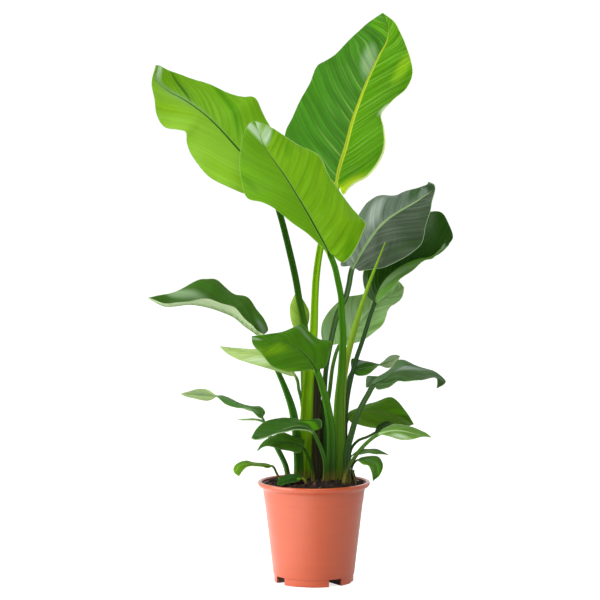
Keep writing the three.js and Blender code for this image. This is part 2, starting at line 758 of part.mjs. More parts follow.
// The stalk's middle line from its foot in the soil, and on into the rib where there is a blade.
function middleLine(leaf) {
  const [x, y] = leaf.foot;
  const standing = soilHeight(x, y) + 3;
  const line = [
    new THREE.Vector3(x, y, STALK_FOOT_HEIGHT),
    new THREE.Vector3(x, y, standing),
    ...leaf.stalk.map(sightPoint),
  ];
  const rib = (leaf.rib ?? []).map(sightPoint);
  const curve = smoothCurve([...line, ...rib]);
  const bladeStart = rib.length
    ? curve.getLength() * lengthShareAt(curve, line.length / (line.length + rib.length - 1))
    : curve.getLength();
  return { curve, bladeStart, length: curve.getLength() };
}

// The share of a curve's length that lies before a parameter value.
function lengthShareAt(curve, parameter) {
  const lengths = curve.getLengths();
  return readAlong(lengths, parameter) / lengths[lengths.length - 1];
}

// Blade stations from base to tip, a little closer together at both ends.
function bladeStations(count) {
  return Array.from({ length: count }, (_, index) => {
    const share = index / count;
    return 0.6 * share + 0.2 * (1 - Math.cos(Math.PI * share));
  });
}

// A grid of points over the middle of the blade: a row of columns for each station.
function bladeGrid(leaf, line, stations) {
  const { columns } = leaf.detail;
  const { curve, bladeStart, length } = line;
  const base = curve.getPointAt(bladeStart / length);
  const tip = curve.getPointAt(1);
  const margins = [leaf.left, leaf.right].map((readings) =>
    smoothCurve([base, ...readings.map(sightPoint), tip]),
  );
  const [waveHeight, waveCount] = leaf.wave;
  return stations.map((station) => {
    const place = (bladeStart + (length - bladeStart) * station) / length;
    const rib = curve.getPointAt(place);
    const along = curve.getTangentAt(place);
    const row = new Array(2 * columns + 1);
    row[columns] = rib;
    for (const side of [-1, 1]) {
      const edge = margins[side < 0 ? 0 : 1].getPointAt(station);
      const span = edge.clone().sub(rib);
      const width = span.length();
      const up = span.clone().multiplyScalar(side).cross(along).normalize();
      for (let column = 1; column <= columns; column += 1) {
        const share = column / columns;
        const turns = waveCount * station + (side < 0 ? 0.3 : 0.8);
        const ripple = waveHeight * share * share * Math.sin(2 * Math.PI * turns);
        const lift = 4 * share * (1 - share) * BLADE_PUFF * width + ripple * Math.min(width / 20, 1);
        row[columns + side * column] = rib.clone().addScaledVector(span, share).addScaledVector(up, lift);
      }
    }
    return row;
  });
}

// Upward normals of the grid, from its neighbours on each side.
function gridNormals(grid) {
  const pick = (row, column) =>
    grid[THREE.MathUtils.clamp(row, 0, grid.length - 1)][
      THREE.MathUtils.clamp(column, 0, grid[0].length - 1)
    ];
  return grid.map((points, row) =>
    points.map((_, column) => {
      const across = pick(row, column + 1).clone().sub(pick(row, column - 1));
      const along = pick(row + 1, column).clone().sub(pick(row - 1, column));
      return across.cross(along).normalize();
    }),
  );
}

// One ring of a stalk: flat grooved top and round back, split into the same columns as the blade.
function stalkRing(centre, along, up, radius, columns, rolled) {
  const across = along.clone().cross(up);
  const count = 2 * columns + 1;
  const top = [];
  const bottom = [];
  for (let column = 0; column < count; column += 1) {
    const angle = Math.PI * (1 - (column + 0.5) / count);
    const lapTop = rolled ? 1 - 0.1 * (column / count) : 1;
    const lapBottom = rolled ? 0.8 - 0.1 * (1 - column / count) : 1;
    const topDepth = rolled ? 0.9 : 0.4 * STALK_DEPTH_SHARE;
    const bottomDepth = rolled ? 0.9 : 1.1 * STALK_DEPTH_SHARE;
    const sideways = centre.clone().addScaledVector(across, radius * Math.cos(angle));
    top.push(sideways.clone().addScaledVector(up, radius * topDepth * lapTop * Math.sin(angle)));
    bottom.push(sideways.clone().addScaledVector(up, -radius * bottomDepth * lapBottom * Math.sin(angle)));
  }
  return { top, bottom };
}

function leafRings(leaf) {
  const { stalkRings, stations: stationCount, columns } = leaf.detail;
  const line = middleLine(leaf);
  const { curve, bladeStart, length } = line;
  const hasBlade = Boolean(leaf.rib);
  const stations = hasBlade ? bladeStations(stationCount) : [];
  const grid = hasBlade ? bladeGrid(leaf, line, stations) : [];
  const normals = hasBlade ? gridNormals(grid) : [];
  const baseUp = hasBlade ? normals[2][columns] : new THREE.Vector3(0, -1, 0);
  const topWidth = leaf.widths[leaf.widths.length - 1];

  // The stalk's upper side is carried down from the blade without turning.
  const stalk = [];
  const last = hasBlade ? stalkRings - 1 : stalkRings;
  let up = baseUp;
  for (let ring = last; ring >= 0; ring -= 1) {
    const share = ring / stalkRings;
    const place = (bladeStart * share) / length;
    const along = curve.getTangentAt(place);
    up = squareTo(along, up);
    const radius = readAlong(leaf.widths, share) / 2;
    stalk.unshift(stalkRing(curve.getPointAt(place), along, up, radius, columns, leaf.rolled));
  }

  const blade = stations.map((station, index) => {
    const place = (bladeStart + (length - bladeStart) * station) / length;
    const along = curve.getTangentAt(place);
    const blend = THREE.MathUtils.smoothstep(station, 0, 0.07);
    const ribUp = squareTo(along, station < 0.1 ? baseUp : normals[index][columns]);
    const radius = (topWidth / 2) * (1 - 0.3 * blend);
    const neck = stalkRing(grid[index][columns], along, ribUp, radius, columns, false);
    const ribDepth = topWidth * (1 - 0.8 * station) * RIB_DEPTH_SHARE;
    const top = [];
    const bottom = [];
    grid[index].forEach((point, column) => {
      const normal = normals[Math.max(index, 2)][column];
      const keel = column === columns ? ribDepth : 0;
      const upper = point.clone().addScaledVector(normal, BLADE_THICKNESS / 2);
      const lower = point.clone().addScaledVector(normal, -BLADE_THICKNESS / 2 - keel);
      top.push(neck.top[column].lerp(upper, blend));
      bottom.push(neck.bottom[column].lerp(lower, blend));
    });
    return { top, bottom };
  });
  return { rings: [...stalk, ...blade], end: curve.getPointAt(1) };
}

// Joins the rings into one closed surface. Both faces of the blade are split along the same
// diagonals, so that they stay a thickness apart however it is waved.
function leafGeometry({ rings, end }) {
  const width = rings[0].top.length;
  const loop = 2 * width;
  const points = [];
  for (const { top, bottom } of rings) {
    for (const point of [...top, ...bottom.slice().reverse()]) points.push(point.x, point.y, point.z);
  }
  const tip = points.length / 3;
  points.push(end.x, end.y, end.z);
  const faces = [];
  for (let column = 0; column < width - 1; column += 1) {
    const [under, underNext] = [loop - 1 - column, loop - 2 - column];
    faces.push(column, under, underNext, column, underNext, column + 1);
  }
  for (let ring = 0; ring < rings.length - 1; ring += 1) {
    for (let place = 0; place < loop; place += 1) {
      const a = ring * loop + place;
      const b = ring * loop + ((place + 1) % loop);
      const [c, d] = [b + loop, a + loop];
      if (place < width) faces.push(a, b, c, a, c, d);
      else faces.push(a, b, d, b, c, d);
    }
  }
  const lastRing = (rings.length - 1) * loop;
  for (let place = 0; place < loop; place += 1) {
    faces.push(lastRing + place, lastRing + ((place + 1) % loop), tip);
  }
  const geometry = new THREE.BufferGeometry();
  geometry.setAttribute("position", new THREE.Float32BufferAttribute(points, 3));
  geometry.setIndex(faces);
  geometry.computeVertexNormals();
  return geometry;
}

// ---- Assembly ----

function named(name, geometry, colour, roughness) {
  const material = new THREE.MeshStandardMaterial({ color: colour, roughness, metalness: 0 });
  const mesh = new THREE.Mesh(geometry, material);
  mesh.name = name;
  return mesh;
}

const plant = new THREE.Group();
plant.name = "potted_bird_of_paradise";
plant.add(named("pot", buildPot(), 0xd0714f, 0.5));

const stalkFeet = [];
for (const leaf of LEAVES) {
  const shape = leafRings(leaf);
  const { top, bottom } = shape.rings[0];
  const [x, y] = leaf.foot;
  stalkFeet.push({ outline: [...top, ...bottom.slice().reverse()], centre: new THREE.Vector2(x, y) });
  plant.add(named(leaf.name, leafGeometry(shape), leaf.colour, leaf.roughness ?? 0.45));
}
plant.add(named("soil", buildSoil(stalkFeet), 0x2b1a12, 0.95));

export default plant;
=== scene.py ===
"""A young bird of paradise in a plastic nursery pot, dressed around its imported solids.

Sizes in the classes are millimetres in the plant's own frame: the pot's base centre is the origin,
+Z is up, and the plant is seen from the front (-Y). Meshes are made in metres.

Each leaf carries two attributes that its finish reads. "place" holds the distance across the blade,
the distance along it and the side-vein coordinate. "zone" holds the side (1 above, 0 below), the
distance from the margin, and the share of the way from the blade's base to its tip, which is
negative on the stalk.
"""

import logging
import math
from collections.abc import Callable
from dataclasses import dataclass, field, replace
from enum import Enum
from functools import partial
from typing import Any

import bmesh
import bpy
import numpy as np
from mathutils import Matrix, Vector


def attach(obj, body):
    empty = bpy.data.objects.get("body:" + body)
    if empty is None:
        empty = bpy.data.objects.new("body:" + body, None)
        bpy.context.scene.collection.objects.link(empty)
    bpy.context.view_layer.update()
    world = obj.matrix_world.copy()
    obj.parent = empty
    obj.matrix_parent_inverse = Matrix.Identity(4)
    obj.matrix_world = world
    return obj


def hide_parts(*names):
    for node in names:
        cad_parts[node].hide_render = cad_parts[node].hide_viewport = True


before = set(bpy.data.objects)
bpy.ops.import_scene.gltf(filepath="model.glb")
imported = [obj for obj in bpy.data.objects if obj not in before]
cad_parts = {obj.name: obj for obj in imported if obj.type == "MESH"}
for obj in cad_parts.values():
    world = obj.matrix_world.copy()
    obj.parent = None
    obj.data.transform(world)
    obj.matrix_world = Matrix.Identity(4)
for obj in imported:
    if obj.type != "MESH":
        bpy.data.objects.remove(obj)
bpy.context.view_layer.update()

LOG = logging.getLogger("bird_of_paradise")
MM = 0.001
Pair = tuple[float, float]
Point = tuple[float, float, float]
Profile = list[tuple[float, float, float]]  # radius, height and rounding of each corner
NodeAdder = Callable[..., bpy.types.Node]  # add_node with its tree already given
Ring = tuple[np.ndarray, np.ndarray, np.ndarray]  # points round a leaf, and both attributes of each

HALVES_APART = 400.0  # added to the right half's side-vein coordinate, so that the halves differ
UNDERSIDE_APART = 40.0  # added to the distance across a stalk on its underside, for the same reason
NO_MARGIN = 30.0  # distance from the margin where there is none, on stalks and midribs
STRAY = (2.0, 23.0)  # how many radians the folds stray from even spacing, and the length of a stray
STALK_BOTTOM = 134.0  # height of the stalks' lower ends, inside the soil as in the solids

MATH, MIX, RANGE = "ShaderNodeMath", "ShaderNodeMix", "ShaderNodeMapRange"
COLOUR = {"data_type": "RGBA"}  # settings of a Mix node for colours, inputs 6 and 7
SMOOTH = {"interpolation_type": "SMOOTHSTEP"}  # settings of a Map Range node without corners


# ---- Helpers ----


def linear(code: str) -> tuple[float, float, float, float]:
    """Turns an sRGB hex colour to linear light.

    Args:
        code: Six hex digits, such as "5E9B35".

    Returns:
        Linear red, green and blue, and an alpha of 1.
    """
    parts = [int(code[i : i + 2], 16) / 255 for i in (0, 2, 4)]
    red, green, blue = (p / 12.92 if p <= 0.04045 else ((p + 0.055) / 1.055) ** 2.4 for p in parts)
    return red, green, blue, 1.0


def add_node(
    tree: bpy.types.NodeTree, kind: str, inputs: dict | tuple = (), **settings: Any
) -> bpy.types.Node:
    """Adds a node with its settings and its inputs.

    Args:
        tree: The tree that the node goes into.
        kind: The node's type.
        inputs: What goes into its inputs, in their order or by name or index: a value to set, a
            socket to link, or a node, whose first working output is linked.
        **settings: The node's own properties.

    Returns:
        The new node.
    """
    node = tree.nodes.new(kind)
    for name, value in settings.items():
        setattr(node, name, value)
    for key, value in inputs.items() if isinstance(inputs, dict) else enumerate(inputs):
        if isinstance(value, bpy.types.Node):
            value = next(socket for socket in value.outputs if socket.enabled)
        if isinstance(value, bpy.types.NodeSocket):
            tree.links.new(value, node.inputs[key])
        else:
            node.inputs[key].default_value = value
    return node


def new_material(name: str) -> tuple[bpy.types.Material, NodeAdder]:
    """Starts a material with an empty tree.

    Args:
        name: The material's name.

    Returns:
        The material, and the function that adds a node to its tree.
    """
    made = bpy.data.materials.new(name)
    made.use_nodes = True
    made.node_tree.nodes.clear()
    return made, partial(add_node, made.node_tree)


def new_tree(name: str, values: dict[str, tuple[str, Any]]) -> tuple[bpy.types.NodeTree, NodeAdder]:
    """Starts a Geometry Nodes tree with a geometry in and out and named inputs.

    Args:
        name: The tree's name.
        values: The socket type and default of each further input, by name.

    Returns:
        The tree, and the function that adds a node to it.
    """
    tree = bpy.data.node_groups.new(name, "GeometryNodeTree")
    tree.is_modifier = True
    tree.interface.new_socket(name="Geometry", in_out="INPUT", socket_type="NodeSocketGeometry")
    tree.interface.new_socket(name="Geometry", in_out="OUTPUT", socket_type="NodeSocketGeometry")
    for label, (sort, value) in values.items():
        socket = tree.interface.new_socket(name=label, in_out="INPUT", socket_type=sort)
        if value is not None:
            socket.default_value = value
    return tree, partial(add_node, tree)


def grow(obj: bpy.types.Object, tree: bpy.types.NodeTree, values: dict[str, Any]) -> None:
    """Puts a Geometry Nodes tree on an object.

    Args:
        obj: The object that gets the modifier.
        tree: The tree.
        values: The values of its named inputs.
    """
    modifier = obj.modifiers.new(tree.name, "NODES")
    modifier.node_group = tree
    sockets = {s.name: s.identifier for s in tree.interface.items_tree if s.in_out == "INPUT"}
    for label, value in values.items():
        modifier[sockets[label]] = value


def smoothstep(value: np.ndarray | float, low: float, high: float) -> np.ndarray:
    """Rises smoothly from 0 at low to 1 at high."""
    share = np.clip((np.asarray(value, float) - low) / (high - low), 0, 1)
    return share * share * (3 - 2 * share)


def unit(vectors: np.ndarray) -> np.ndarray:
    """Vectors of length 1 in the same directions."""
    return vectors / (np.linalg.norm(vectors, axis=-1, keepdims=True) + 1e-12)


def shade(mesh: bpy.types.Mesh, angle: float) -> None:
    """Shades a mesh smooth, with sharp edges from an angle in degrees on."""
    mesh.shade_smooth()
    mesh.set_sharp_from_angle(angle=math.radians(angle))


def new_object(
    name: str, vertices: np.ndarray, faces: list, material: bpy.types.Material
) -> bpy.types.Object:
    """Makes a smooth-shaded mesh object at the origin.

    Args:
        name: The object's name.
        vertices: Its corners, in millimetres.
        faces: Its faces, as tuples of corner indices.
        material: Its finish.

    Returns:
        The object, linked to the scene.
    """
    mesh = bpy.data.meshes.new(name)
    mesh.from_pydata((np.asarray(vertices) * MM).tolist(), [], faces)
    mesh.materials.append(material)
    shade(mesh, 48)
    made = bpy.data.objects.new(name, mesh)
    bpy.context.scene.collection.objects.link(made)
    return made


def plain_mesh(obj: bpy.types.Object, name: str) -> bpy.types.Object:
    """Turns an object and its modifiers into a new object with a plain mesh, and removes the old one.

    Args:
        obj: The object with live modifiers.
        name: The new object's name.

    Returns:
        The new object.
    """
    graph = bpy.context.evaluated_depsgraph_get()
    mesh = bpy.data.meshes.new_from_object(obj.evaluated_get(graph))
    mesh.name = name
    bpy.data.objects.remove(obj)
    shade(mesh, 30)
    made = bpy.data.objects.new(name, mesh)
    bpy.context.scene.collection.objects.link(made)
    return made


def settle(piece: bpy.types.Object, slot: str, *nodes: str) -> None:
    """Fixes a finished piece to the plant and logs it.

    Args:
        piece: The piece.
        slot: The slot of its finish.
        *nodes: The solids that it stands for, if any.
    """
    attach(piece, "root")
    if nodes:
        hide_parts(*nodes)
    LOG.info("%s: %d faces, slot %s", piece.name, len(piece.data.polygons), slot)


# ---- Finishes ----


class Tint(Enum):
    """Tints of parts of a blade: some the leaf's own colour, some painted sheen, glare or shade."""

    YOUNG = "A2D41E"  # thin new tissue, most often at a margin
    FRESH = "62A80A"  # full green that is still clear
    DEEP_AND_SHADE = "3E7A14"  # deeper green: older tissue, and painted shade in folds and hollows
    SHADED = "24480E"  # painted shade in hollows and curled folds of a blade
    BLOOM = "A8C69A"  # pale waxy bloom, and painted sheen where the glossy skin catches the light
    GREY_SHEEN = "98A69A"  # painted grey sheen: the bright room reflected on the grey-green leaves
    BLANCHED = "DCEED2"  # painted glare, near white, on glossy rolled tips and edges
    COLLAR = "B8D800"  # yellow neck where the blade meets its stalk


@dataclass(frozen=True)
class Patch:
    """A paler or darker area of a blade, drawn out along its side veins; many are painted sheen or shade.

    Its middle is read on the sheet like the blade's own outline, and its half sizes are taken
    away from the midrib and from one side vein to the next.
    """

    x: float
    height: float
    out: float
    over: float
    tint: Tint
    strength: float = 0.6


Spot = tuple[float, float, Patch]  # a patch after its distance across and its side-vein coordinate


@dataclass(frozen=True)
class LivingLeaf:
    """A living leaf: waxy skin over parallel side veins that leave a fleshy midrib.

    The wax gives a soft sheen, and the skin is folded between the side veins. Thin tissue lets
    light through, so a lit blade looks yellower. The underside is paler and duller.
    """

    name: str
    left: str = "5E9A35"  # upper skin, left half
    right: str = "68A838"  # upper skin, right half
    under: str = "8FB06A"
    rib: str = "8FB84A"
    line: str = "4E7A2C"  # the groove along the midrib; where dark, painted shadow in the groove
    margin: str = "A9C877"
    stalk_low: str = "5F8F38"
    stalk_high: str = "4C8430"
    stalk_foot: str = "8A8038"  # the lowest part of the stalk, just above the soil
    vein: str = "9CC07C"
    through: str = "A8E01C"  # tissue with the light behind it
    veins: float = 0.3  # how far the pale crest lines stand out: side veins, with painted highlight on the ridges
    bands: float = 0.5  # contrast between one vein band and the next
    panels: float = 0.1  # contrast across one fold, from its shaded side to its lit side
    roughness: float = 0.36
    specular: float = 0.12
    glow: float = 0.25  # share of light that passes through
    rib_half: float = 3.0  # half the midrib's width at the blade's base
    hem: Pair = (0.5, 0.5)  # width of the pale edge, left and right
    hem_fade: float = 0.0  # share of that width which is gone at the tip
    mottle: float = 38.5  # width of the faint clouds in the skin
    foot_top: Pair = (176.0, 155.0)  # heights where the foot's tint starts and where it is full

    def material(self, spacing: float, spots: list[Spot]) -> bpy.types.Material:
        """Builds the finish.

        Args:
            spacing: Millimetres from one fold of the blade to the next.
            spots: The patches and where they lie.

        Returns:
            The material, which reads the leaf's own attributes "place" and "zone".
        """
        made, node = new_material(f"living_leaf_{self.name}")
        place = node("ShaderNodeAttribute", attribute_name="place")
        zone = node("ShaderNodeAttribute", attribute_name="zone")
        across, along, vein = node("ShaderNodeSeparateXYZ", (place.outputs["Vector"],)).outputs
        face, edge, share = node("ShaderNodeSeparateXYZ", (zone.outputs["Vector"],)).outputs
        aside = node(MATH, (across,), operation="ABSOLUTE")
        here = node("ShaderNodeTexCoord").outputs["Object"]
        mottle = node("ShaderNodeTexNoise", {"Vector": here, "Scale": 1 / (self.mottle * MM), "Detail": 2.0})
        # Side veins lie about 1.5 mm apart, too fine for the render, so the pattern shows their
        # bundles: one line on each fold of the blade, bands of 14 mm and streaks of 3 mm. Stalks
        # have lengthwise fibres, drawn 1.2 mm apart.
        blade = node("ShaderNodeCombineXYZ", (vein, across))
        stalk = node("ShaderNodeCombineXYZ", (across, along))
        clouds = []
        for plane, size, detail in (
            (blade, (14, 90, 1), 1.0), (blade, (3, 60, 1), 2.0), (stalk, (1.2, 60, 1), 1.0),
        ):
            where = node("ShaderNodeVectorMath", (plane, size), operation="DIVIDE")
            clouds.append(node("ShaderNodeTexNoise", {"Vector": where, "Scale": 1.0, "Detail": detail}))
        band, thin, fibre = clouds
        # The folds: turns grows by a full circle from one to the next, and crest is 1 on top.
        stray = node(MATH, (vein, STRAY[1]), operation="DIVIDE")
        stray = node(MATH, (stray,), operation="SINE")
        turns = node(MATH, (vein, 2 * math.pi / spacing), operation="MULTIPLY")
        turns = node(MATH, (stray, STRAY[0], turns), operation="MULTIPLY_ADD")
        crest = node(MATH, (turns,), operation="SINE")

        half = node(RANGE, (across, -3.0, 3.0), **SMOOTH)
        upper = node(MIX, {0: half, 6: linear(self.left), 7: linear(self.right)}, **COLOUR)
        above = node(MATH, (face, 0.5), operation="GREATER_THAN")
        skin = node(MIX, {0: above, 6: linear(self.under), 7: upper}, **COLOUR)
        # Patches have uneven edges: the clouds count as a third direction away from their middle.
        uneven = node(MATH, (band, mottle), operation="ADD")
        uneven = node(MATH, (uneven, 0.9, -0.9), operation="MULTIPLY_ADD")
        # Each patch mixes in its tint; some tints are painted sheen, glare or shade.
        for away, coordinate, patch in spots:
            out = node(MATH, (across, 1 / patch.out, -away / patch.out), operation="MULTIPLY_ADD")
            over = node(MATH, (vein, 1 / patch.over, -coordinate / patch.over), operation="MULTIPLY_ADD")
            where = node("ShaderNodeCombineXYZ", (out, over, uneven))
            reach = node("ShaderNodeVectorMath", (where,), operation="LENGTH")
            cover = node(RANGE, (reach, 1.3, 0.3, 0.0, patch.strength), **SMOOTH)
            skin = node(MIX, {0: cover, 6: skin, 7: linear(patch.tint.value)}, **COLOUR)

        # Light and dark bands, and the shaded and the lit side of each fold.
        stripes = node(MATH, (band, thin), operation="ADD")
        stripes = node(MATH, (stripes, 0.5), operation="MULTIPLY")
        stripes = node(MATH, (crest, 0.05, stripes), operation="MULTIPLY_ADD")
        darkest = 1 - 0.32 * self.bands - 0.5 * self.panels
        tone = node(RANGE, (stripes, 0.3, 0.7, darkest, darkest + 0.6 * self.bands), **SMOOTH)
        panel = node(MATH, (turns, 0.5 / math.pi), operation="MULTIPLY")
        panel = node(MATH, (panel,), operation="FRACT")
        tone = node(MATH, (panel, self.panels, tone), operation="MULTIPLY_ADD")
        skin = node(MIX, {0: 1.0, 6: skin, 7: tone}, **COLOUR, blend_type="MULTIPLY")
        # Pale lines along the crests, side veins with painted highlight on the ridges, which fade from the
        # midrib outwards and from band to band.
        near = node(RANGE, (aside, 70.0, 8.0), **SMOOTH)
        clear = node(RANGE, (band, 0.38, 0.62), **SMOOTH)
        pale = node(RANGE, (crest, 0.45, 1.0, 0.0, self.veins), **SMOOTH)
        pale = node(MATH, (pale, near), operation="MULTIPLY")
        pale = node(MATH, (pale, clear), operation="MULTIPLY")
        skin = node(MIX, {0: pale, 6: skin, 7: linear(self.vein)}, **COLOUR)

        # The midrib narrows towards the tip and sinks into the blade before it.
        wide = node(MATH, (share, -0.85 * self.rib_half, self.rib_half), operation="MULTIPLY_ADD")
        core = node(MATH, (wide, 0.6), operation="MULTIPLY")
        groove = node(MATH, (wide, 0.2), operation="MULTIPLY")
        off = node(RANGE, (aside, core, wide), **SMOOTH)
        past = node(RANGE, (share, 0.78, 0.95), **SMOOTH)
        off = node(MATH, (off, past), operation="MAXIMUM")
        skin = node(MIX, {0: off, 6: linear(self.rib), 7: skin}, **COLOUR)
        # The groove's line colour; where it is dark, it is painted shadow in the groove, fading out towards
        # the tip.
        dark = node(RANGE, (aside, core, groove), **SMOOTH)
        ahead = node(RANGE, (share, 0.95, 0.7), **SMOOTH)
        dark = node(MATH, (dark, ahead), operation="MINIMUM")
        dark = node(MATH, (dark, face), operation="MULTIPLY")
        skin = node(MIX, {0: dark, 6: skin, 7: linear(self.line)}, **COLOUR)
        # The pale edge.
        hem = node(RANGE, (across, -3.0, 3.0, *self.hem))
        kept = node(RANGE, (share, 0.3, 0.6, 1.0, 1 - self.hem_fade), **SMOOTH)
        hem = node(MATH, (hem, kept), operation="MULTIPLY")
        soft = node(MATH, (hem, 2.4), operation="MULTIPLY")
        inside = node(RANGE, (edge, hem, soft), **SMOOTH)
        skin = node(MIX, {0: inside, 6: linear(self.margin), 7: skin}, **COLOUR)

        # The stalk changes colour on its way up, unevenly from fibre to fibre.
        climb = node(MATH, (fibre, 0.35, share), operation="MULTIPLY_ADD")
        climb = node(RANGE, (climb, -0.725, 0.025), **SMOOTH)
        stem = node(MIX, {0: climb, 6: linear(self.stalk_low), 7: linear(self.stalk_high)}, **COLOUR)
        up = node("ShaderNodeSeparateXYZ", (here,)).outputs["Z"]
        foot = node(RANGE, (up, self.foot_top[0] * MM, self.foot_top[1] * MM, 0.0, 0.75), **SMOOTH)
        stem = node(MIX, {0: foot, 6: stem, 7: linear(self.stalk_foot)}, **COLOUR)
        neck = node(RANGE, (share, -0.01, 0.03), **SMOOTH)
        skin = node(MIX, {0: neck, 6: stem, 7: skin}, **COLOUR)

        # Veins and fibres stand proud by about a tenth of a millimetre.
        relief = node(MATH, (thin, fibre), operation="ADD")
        bump = node("ShaderNodeBump", {"Strength": 0.35, "Distance": 0.3 * MM, "Height": relief})
        # The underside is duller by 0.14, and the clouds vary the gloss by 0.1 either way.
        gloss = node(MATH, (face, -0.14, self.roughness + 0.04), operation="MULTIPLY_ADD")
        gloss = node(MATH, (mottle, 0.2, gloss), operation="MULTIPLY_ADD")
        body = node("ShaderNodeBsdfPrincipled", {
            "Base Color": skin, "Roughness": gloss, "Normal": bump,
            "IOR": 1.45, "Specular IOR Level": self.specular,
        })
        lit = node(MIX, {0: 0.4, 6: skin, 7: linear(self.through)}, **COLOUR)
        through = node("ShaderNodeBsdfTranslucent", {"Color": lit})
        mixed = node("ShaderNodeMixShader", (self.glow, body, through))
        node("ShaderNodeOutputMaterial", {"Surface": mixed})
        return made


@dataclass(frozen=True)
class DriedSheath:
    """A dead leaf base, dried on the plant: papery, matt, furrowed along its length."""

    # Both browns are darkened nearly to black, as painted shade between the stalks.
    dark: str = "0E0A05"
    light: str = "363414"
    furrow: Pair = (1.43, 50.0)  # how far apart the furrows lie, and how long each one runs

    def material(self, spacing: float, spots: list[Spot]) -> bpy.types.Material:
        """Builds the finish, which reads the piece's attribute "place".

        Args:
            spacing: Not used, as a sheath has no folds.
            spots: Not used, as a sheath has no patches.

        Returns:
            The material.
        """
        made, node = new_material("dried_leaf_sheath")
        place = node("ShaderNodeAttribute", attribute_name="place").outputs["Vector"]
        scale = (1 / self.furrow[0], 1 / self.furrow[1], 0.0)
        stretched = node("ShaderNodeMapping", {"Vector": place, "Scale": scale})
        furrow = node("ShaderNodeTexNoise", {"Vector": stretched, "Scale": 1.0, "Detail": 3.0})
        share = node(RANGE, (furrow, 0.35, 0.68))
        colour = node(MIX, {0: share, 6: linear(self.dark), 7: linear(self.light)}, **COLOUR)
        bump = node("ShaderNodeBump", {"Strength": 0.7, "Distance": 1.0 * MM, "Height": furrow})
        body = node("ShaderNodeBsdfPrincipled", {
            "Base Color": colour, "Roughness": 0.8, "Specular IOR Level": 0.2, "Normal": bump,
        })
        node("ShaderNodeOutputMaterial", {"Surface": body})
        return made


@dataclass(frozen=True)
class MouldedPlastic:
    """Injection-moulded polypropylene in terracotta: satin, with faint flow marks from the mould."""

    colour: str = "D05216"
    shade: str = "C64A10"
    recess_shade: str = "2A140C"  # painted shade in the channels, and on the inner wall round the soil, where it is partly peat stain too
    flow: Pair = (50.0, 14.3)  # width and height of a flow mark
    grain: float = 0.833  # width of a grain of the satin surface
    channels: Pair = (59.5, 56.0)  # radii where the painted shade in the channels starts and where it is full
    channel_top: float = 12.5  # height up to which the channels are painted with shade
    inner_wall: Pair = (79.7, 78.9)  # radii where the painted shade and stain on the inner wall start and where they are full
    wall_shade_heights: Pair = (151.0, 148.0)  # heights where the inner wall's painted shade and stain start and where they are full
    wall_shade_foot: float = 143.5  # height from which the inner wall is painted darker

    def material(self) -> bpy.types.Material:
        """Builds the finish.

        Returns:
            The material.
        """
        made, node = new_material("moulded_polypropylene_terracotta")
        here = node("ShaderNodeTexCoord").outputs["Object"]
        wide, tall = (1 / (size * MM) for size in self.flow)
        stretched = node("ShaderNodeMapping", {"Vector": here, "Scale": (wide, wide, tall)})
        flow = node("ShaderNodeTexNoise", {"Vector": stretched, "Scale": 1.0, "Detail": 3.0})
        grain = node("ShaderNodeTexNoise", {"Vector": here, "Scale": 1 / (self.grain * MM), "Detail": 1.0})
        clean = node(MIX, {0: flow, 6: linear(self.colour), 7: linear(self.shade)}, **COLOUR)
        gloss = node(RANGE, (flow, 0.0, 1.0, 0.34, 0.42))
        bump = node("ShaderNodeBump", {"Strength": 0.12, "Distance": 0.2 * MM, "Height": grain})
        # Painted shade darkens the channels, from just inside the foot, and the inner wall round the soil,
        # which is partly peat stain too.
        across, deep, up = node("ShaderNodeSeparateXYZ", (here,)).outputs
        flat = node("ShaderNodeCombineXYZ", (across, deep))
        radius = node("ShaderNodeVectorMath", (flat,), operation="LENGTH")
        inward = node(RANGE, (radius, self.channels[0] * MM, self.channels[1] * MM, 0.0, 0.92))
        under = node(MATH, (up, self.channel_top * MM), operation="LESS_THAN")
        channel = node(MATH, (inward, under), operation="MULTIPLY")
        wall = node(RANGE, (radius, self.inner_wall[0] * MM, self.inner_wall[1] * MM, 0.0, 0.75))
        mouth = node(RANGE, (up, self.wall_shade_heights[0] * MM, self.wall_shade_heights[1] * MM))
        above = node(MATH, (up, self.wall_shade_foot * MM), operation="GREATER_THAN")
        wall = node(MATH, (wall, mouth), operation="MULTIPLY")
        wall = node(MATH, (wall, above), operation="MULTIPLY")
        shaded_mask = node(MATH, (channel, wall), operation="MAXIMUM")
        colour = node(MIX, {0: shaded_mask, 6: clean, 7: linear(self.recess_shade)}, **COLOUR)
        # The coat is the mould's polished skin, over the duller depth of the plastic.
        body = node("ShaderNodeBsdfPrincipled", {
            "Base Color": colour, "Roughness": gloss, "Normal": bump, "IOR": 1.49, "Specular IOR Level": 1.0,
            "Coat Weight": 0.5, "Coat Roughness": 0.12, "Coat IOR": 1.5,
        })
        node("ShaderNodeOutputMaterial", {"Surface": body})
        return made


